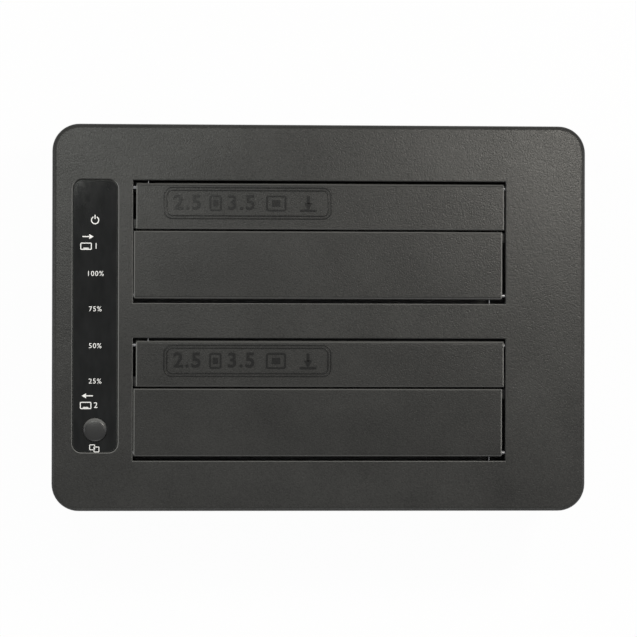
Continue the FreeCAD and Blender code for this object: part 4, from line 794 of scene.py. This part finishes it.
print_window()
for bay in BAYS:
    emboss_flap(bay)
    for kind in FLAP_KINDS:
        wind_spring(bay, kind)
dress_button()
sign_rocker()
dress_feet()
dress_screws("housing_screws", True, 1.5 * MM, 2.0 * MM)
dress_screws("bay_guide_screws", True, 1.1 * MM, 1.5 * MM)
dress_screws("board_screws", False, 1.1 * MM, 1.5 * MM)
dress_screws("panel_screws", True, 0.8 * MM, 1.1 * MM)


# Studio: pale floor, soft light, camera from above.
def seen_as_white(tree, lit, white):
    """Lit as it is for soft light, white for the eye, for a gloss and through a glass."""
    path = tree.nodes.new("ShaderNodeLightPath")
    total = path.outputs["Is Camera Ray"]
    for ray in ("Is Glossy Ray", "Is Transmission Ray"):
        both = tree.nodes.new("ShaderNodeMath")
        both.operation = "MAXIMUM"
        tree.links.new(total, both.inputs[0])
        tree.links.new(path.outputs[ray], both.inputs[1])
        total = both.outputs[0]
    mix = tree.nodes.new("ShaderNodeMixShader")
    tree.links.new(total, mix.inputs[0])
    tree.links.new(lit, mix.inputs[1])
    tree.links.new(white, mix.inputs[2])
    return mix.outputs[0]


def lay_floor():
    """Pale floor that shows soft shadows and almost no other shade."""
    pick()
    bpy.ops.mesh.primitive_plane_add(size=6, location=(0, 0, 0))
    floor = bpy.context.object
    floor.name = "studio_floor"
    material = bpy.data.materials.new("studio_floor")
    material.use_nodes = True
    tree = material.node_tree
    tree.nodes.clear()
    lit = tree.nodes.new("ShaderNodeBsdfDiffuse")
    lit.inputs[0].default_value = (0.85, 0.85, 0.85, 1)
    glow = tree.nodes.new("ShaderNodeEmission")
    glow.inputs["Strength"].default_value = 1.0
    blend = tree.nodes.new("ShaderNodeMixShader")
    blend.inputs[0].default_value = 0.97
    tree.links.new(lit.outputs[0], blend.inputs[1])
    tree.links.new(glow.outputs[0], blend.inputs[2])
    out = tree.nodes.new("ShaderNodeOutputMaterial")
    tree.links.new(seen_as_white(tree, lit.outputs[0], blend.outputs[0]), out.inputs[0])
    floor.data.materials.append(material)


def light_sky():
    world = bpy.data.worlds.new("studio_sky")
    bpy.context.scene.world = world
    world.use_nodes = True
    tree = world.node_tree
    tree.nodes.clear()
    lit = tree.nodes.new("ShaderNodeBackground")
    lit.inputs[0].default_value = (1, 1, 1, 1)
    lit.inputs[1].default_value = 0.3
    white = tree.nodes.new("ShaderNodeBackground")
    white.inputs[0].default_value = (1, 1, 1, 1)
    white.inputs[1].default_value = 1.0
    out = tree.nodes.new("ShaderNodeOutputWorld")
    tree.links.new(seen_as_white(tree, lit.outputs[0], white.outputs[0]), out.inputs[0])


def hang_light(name, place, aim, size, power, colour=(1, 1, 1)):
    pick()
    bpy.ops.object.light_add(type="AREA", location=place)
    lamp = bpy.context.object
    lamp.name = name
    lamp.data.shape = "RECTANGLE"
    lamp.data.size, lamp.data.size_y = size
    lamp.data.energy = power
    lamp.data.color = colour
    lamp.rotation_euler = (Vector(aim) - Vector(place)).to_track_quat("-Z", "Y").to_euler()


def set_camera():
    """From straight above, a touch from the left, as a product shot is taken."""
    lean_x, lean_y, roll = radians(0.319), radians(-2.894), radians(0.13)
    distance, aim = 0.8, Vector((-0.356 * MM, -0.166 * MM, case_top))
    toward = Vector((sin(lean_y), -sin(lean_x) * cos(lean_y), cos(lean_x) * cos(lean_y)))
    bpy.ops.object.camera_add(location=aim + distance * toward)
    camera = bpy.context.object
    camera.name = "studio_camera"
    camera.data.sensor_width = 36
    camera.data.lens = 161.02
    camera.data.clip_start = 0.01
    across = Vector((0, 1, 0)).cross(toward).normalized()
    upward = toward.cross(across)
    turn = Matrix((across, upward, toward)).transposed() @ Matrix.Rotation(roll, 3, "Z")
    camera.rotation_euler = turn.to_euler()
    bpy.context.scene.camera = camera


lay_floor()
light_sky()
warm, pale = (1, 0.96, 0.88), (0.98, 1, 0.94)
spot, across, along = (0.06, 0.06), (0.6, 0.12), (0.12, 0.6)
rear_right, rear_left, middle = (0.075, 0.05, 0.06), (-0.07, 0.05, 0.06), (0, 0, 0.06)
hang_light("rear_right_softbox", (0.134, 0.1, 0.4), rear_right, spot, 0.74, warm)
hang_light("rear_left_softbox", (-0.094, 0.087, 0.4), rear_left, spot, 0.32, pale)
hang_light("left_softbox", (-0.85, 0.0, 0.42), middle, along, 1.2)
hang_light("right_softbox", (0.85, 0.0, 0.42), middle, along, 1.2)
hang_light("front_softbox", (0.0, -0.85, 0.45), middle, across, 1.5)
set_camera()
bpy.context.scene.view_settings.view_transform = "Standard"
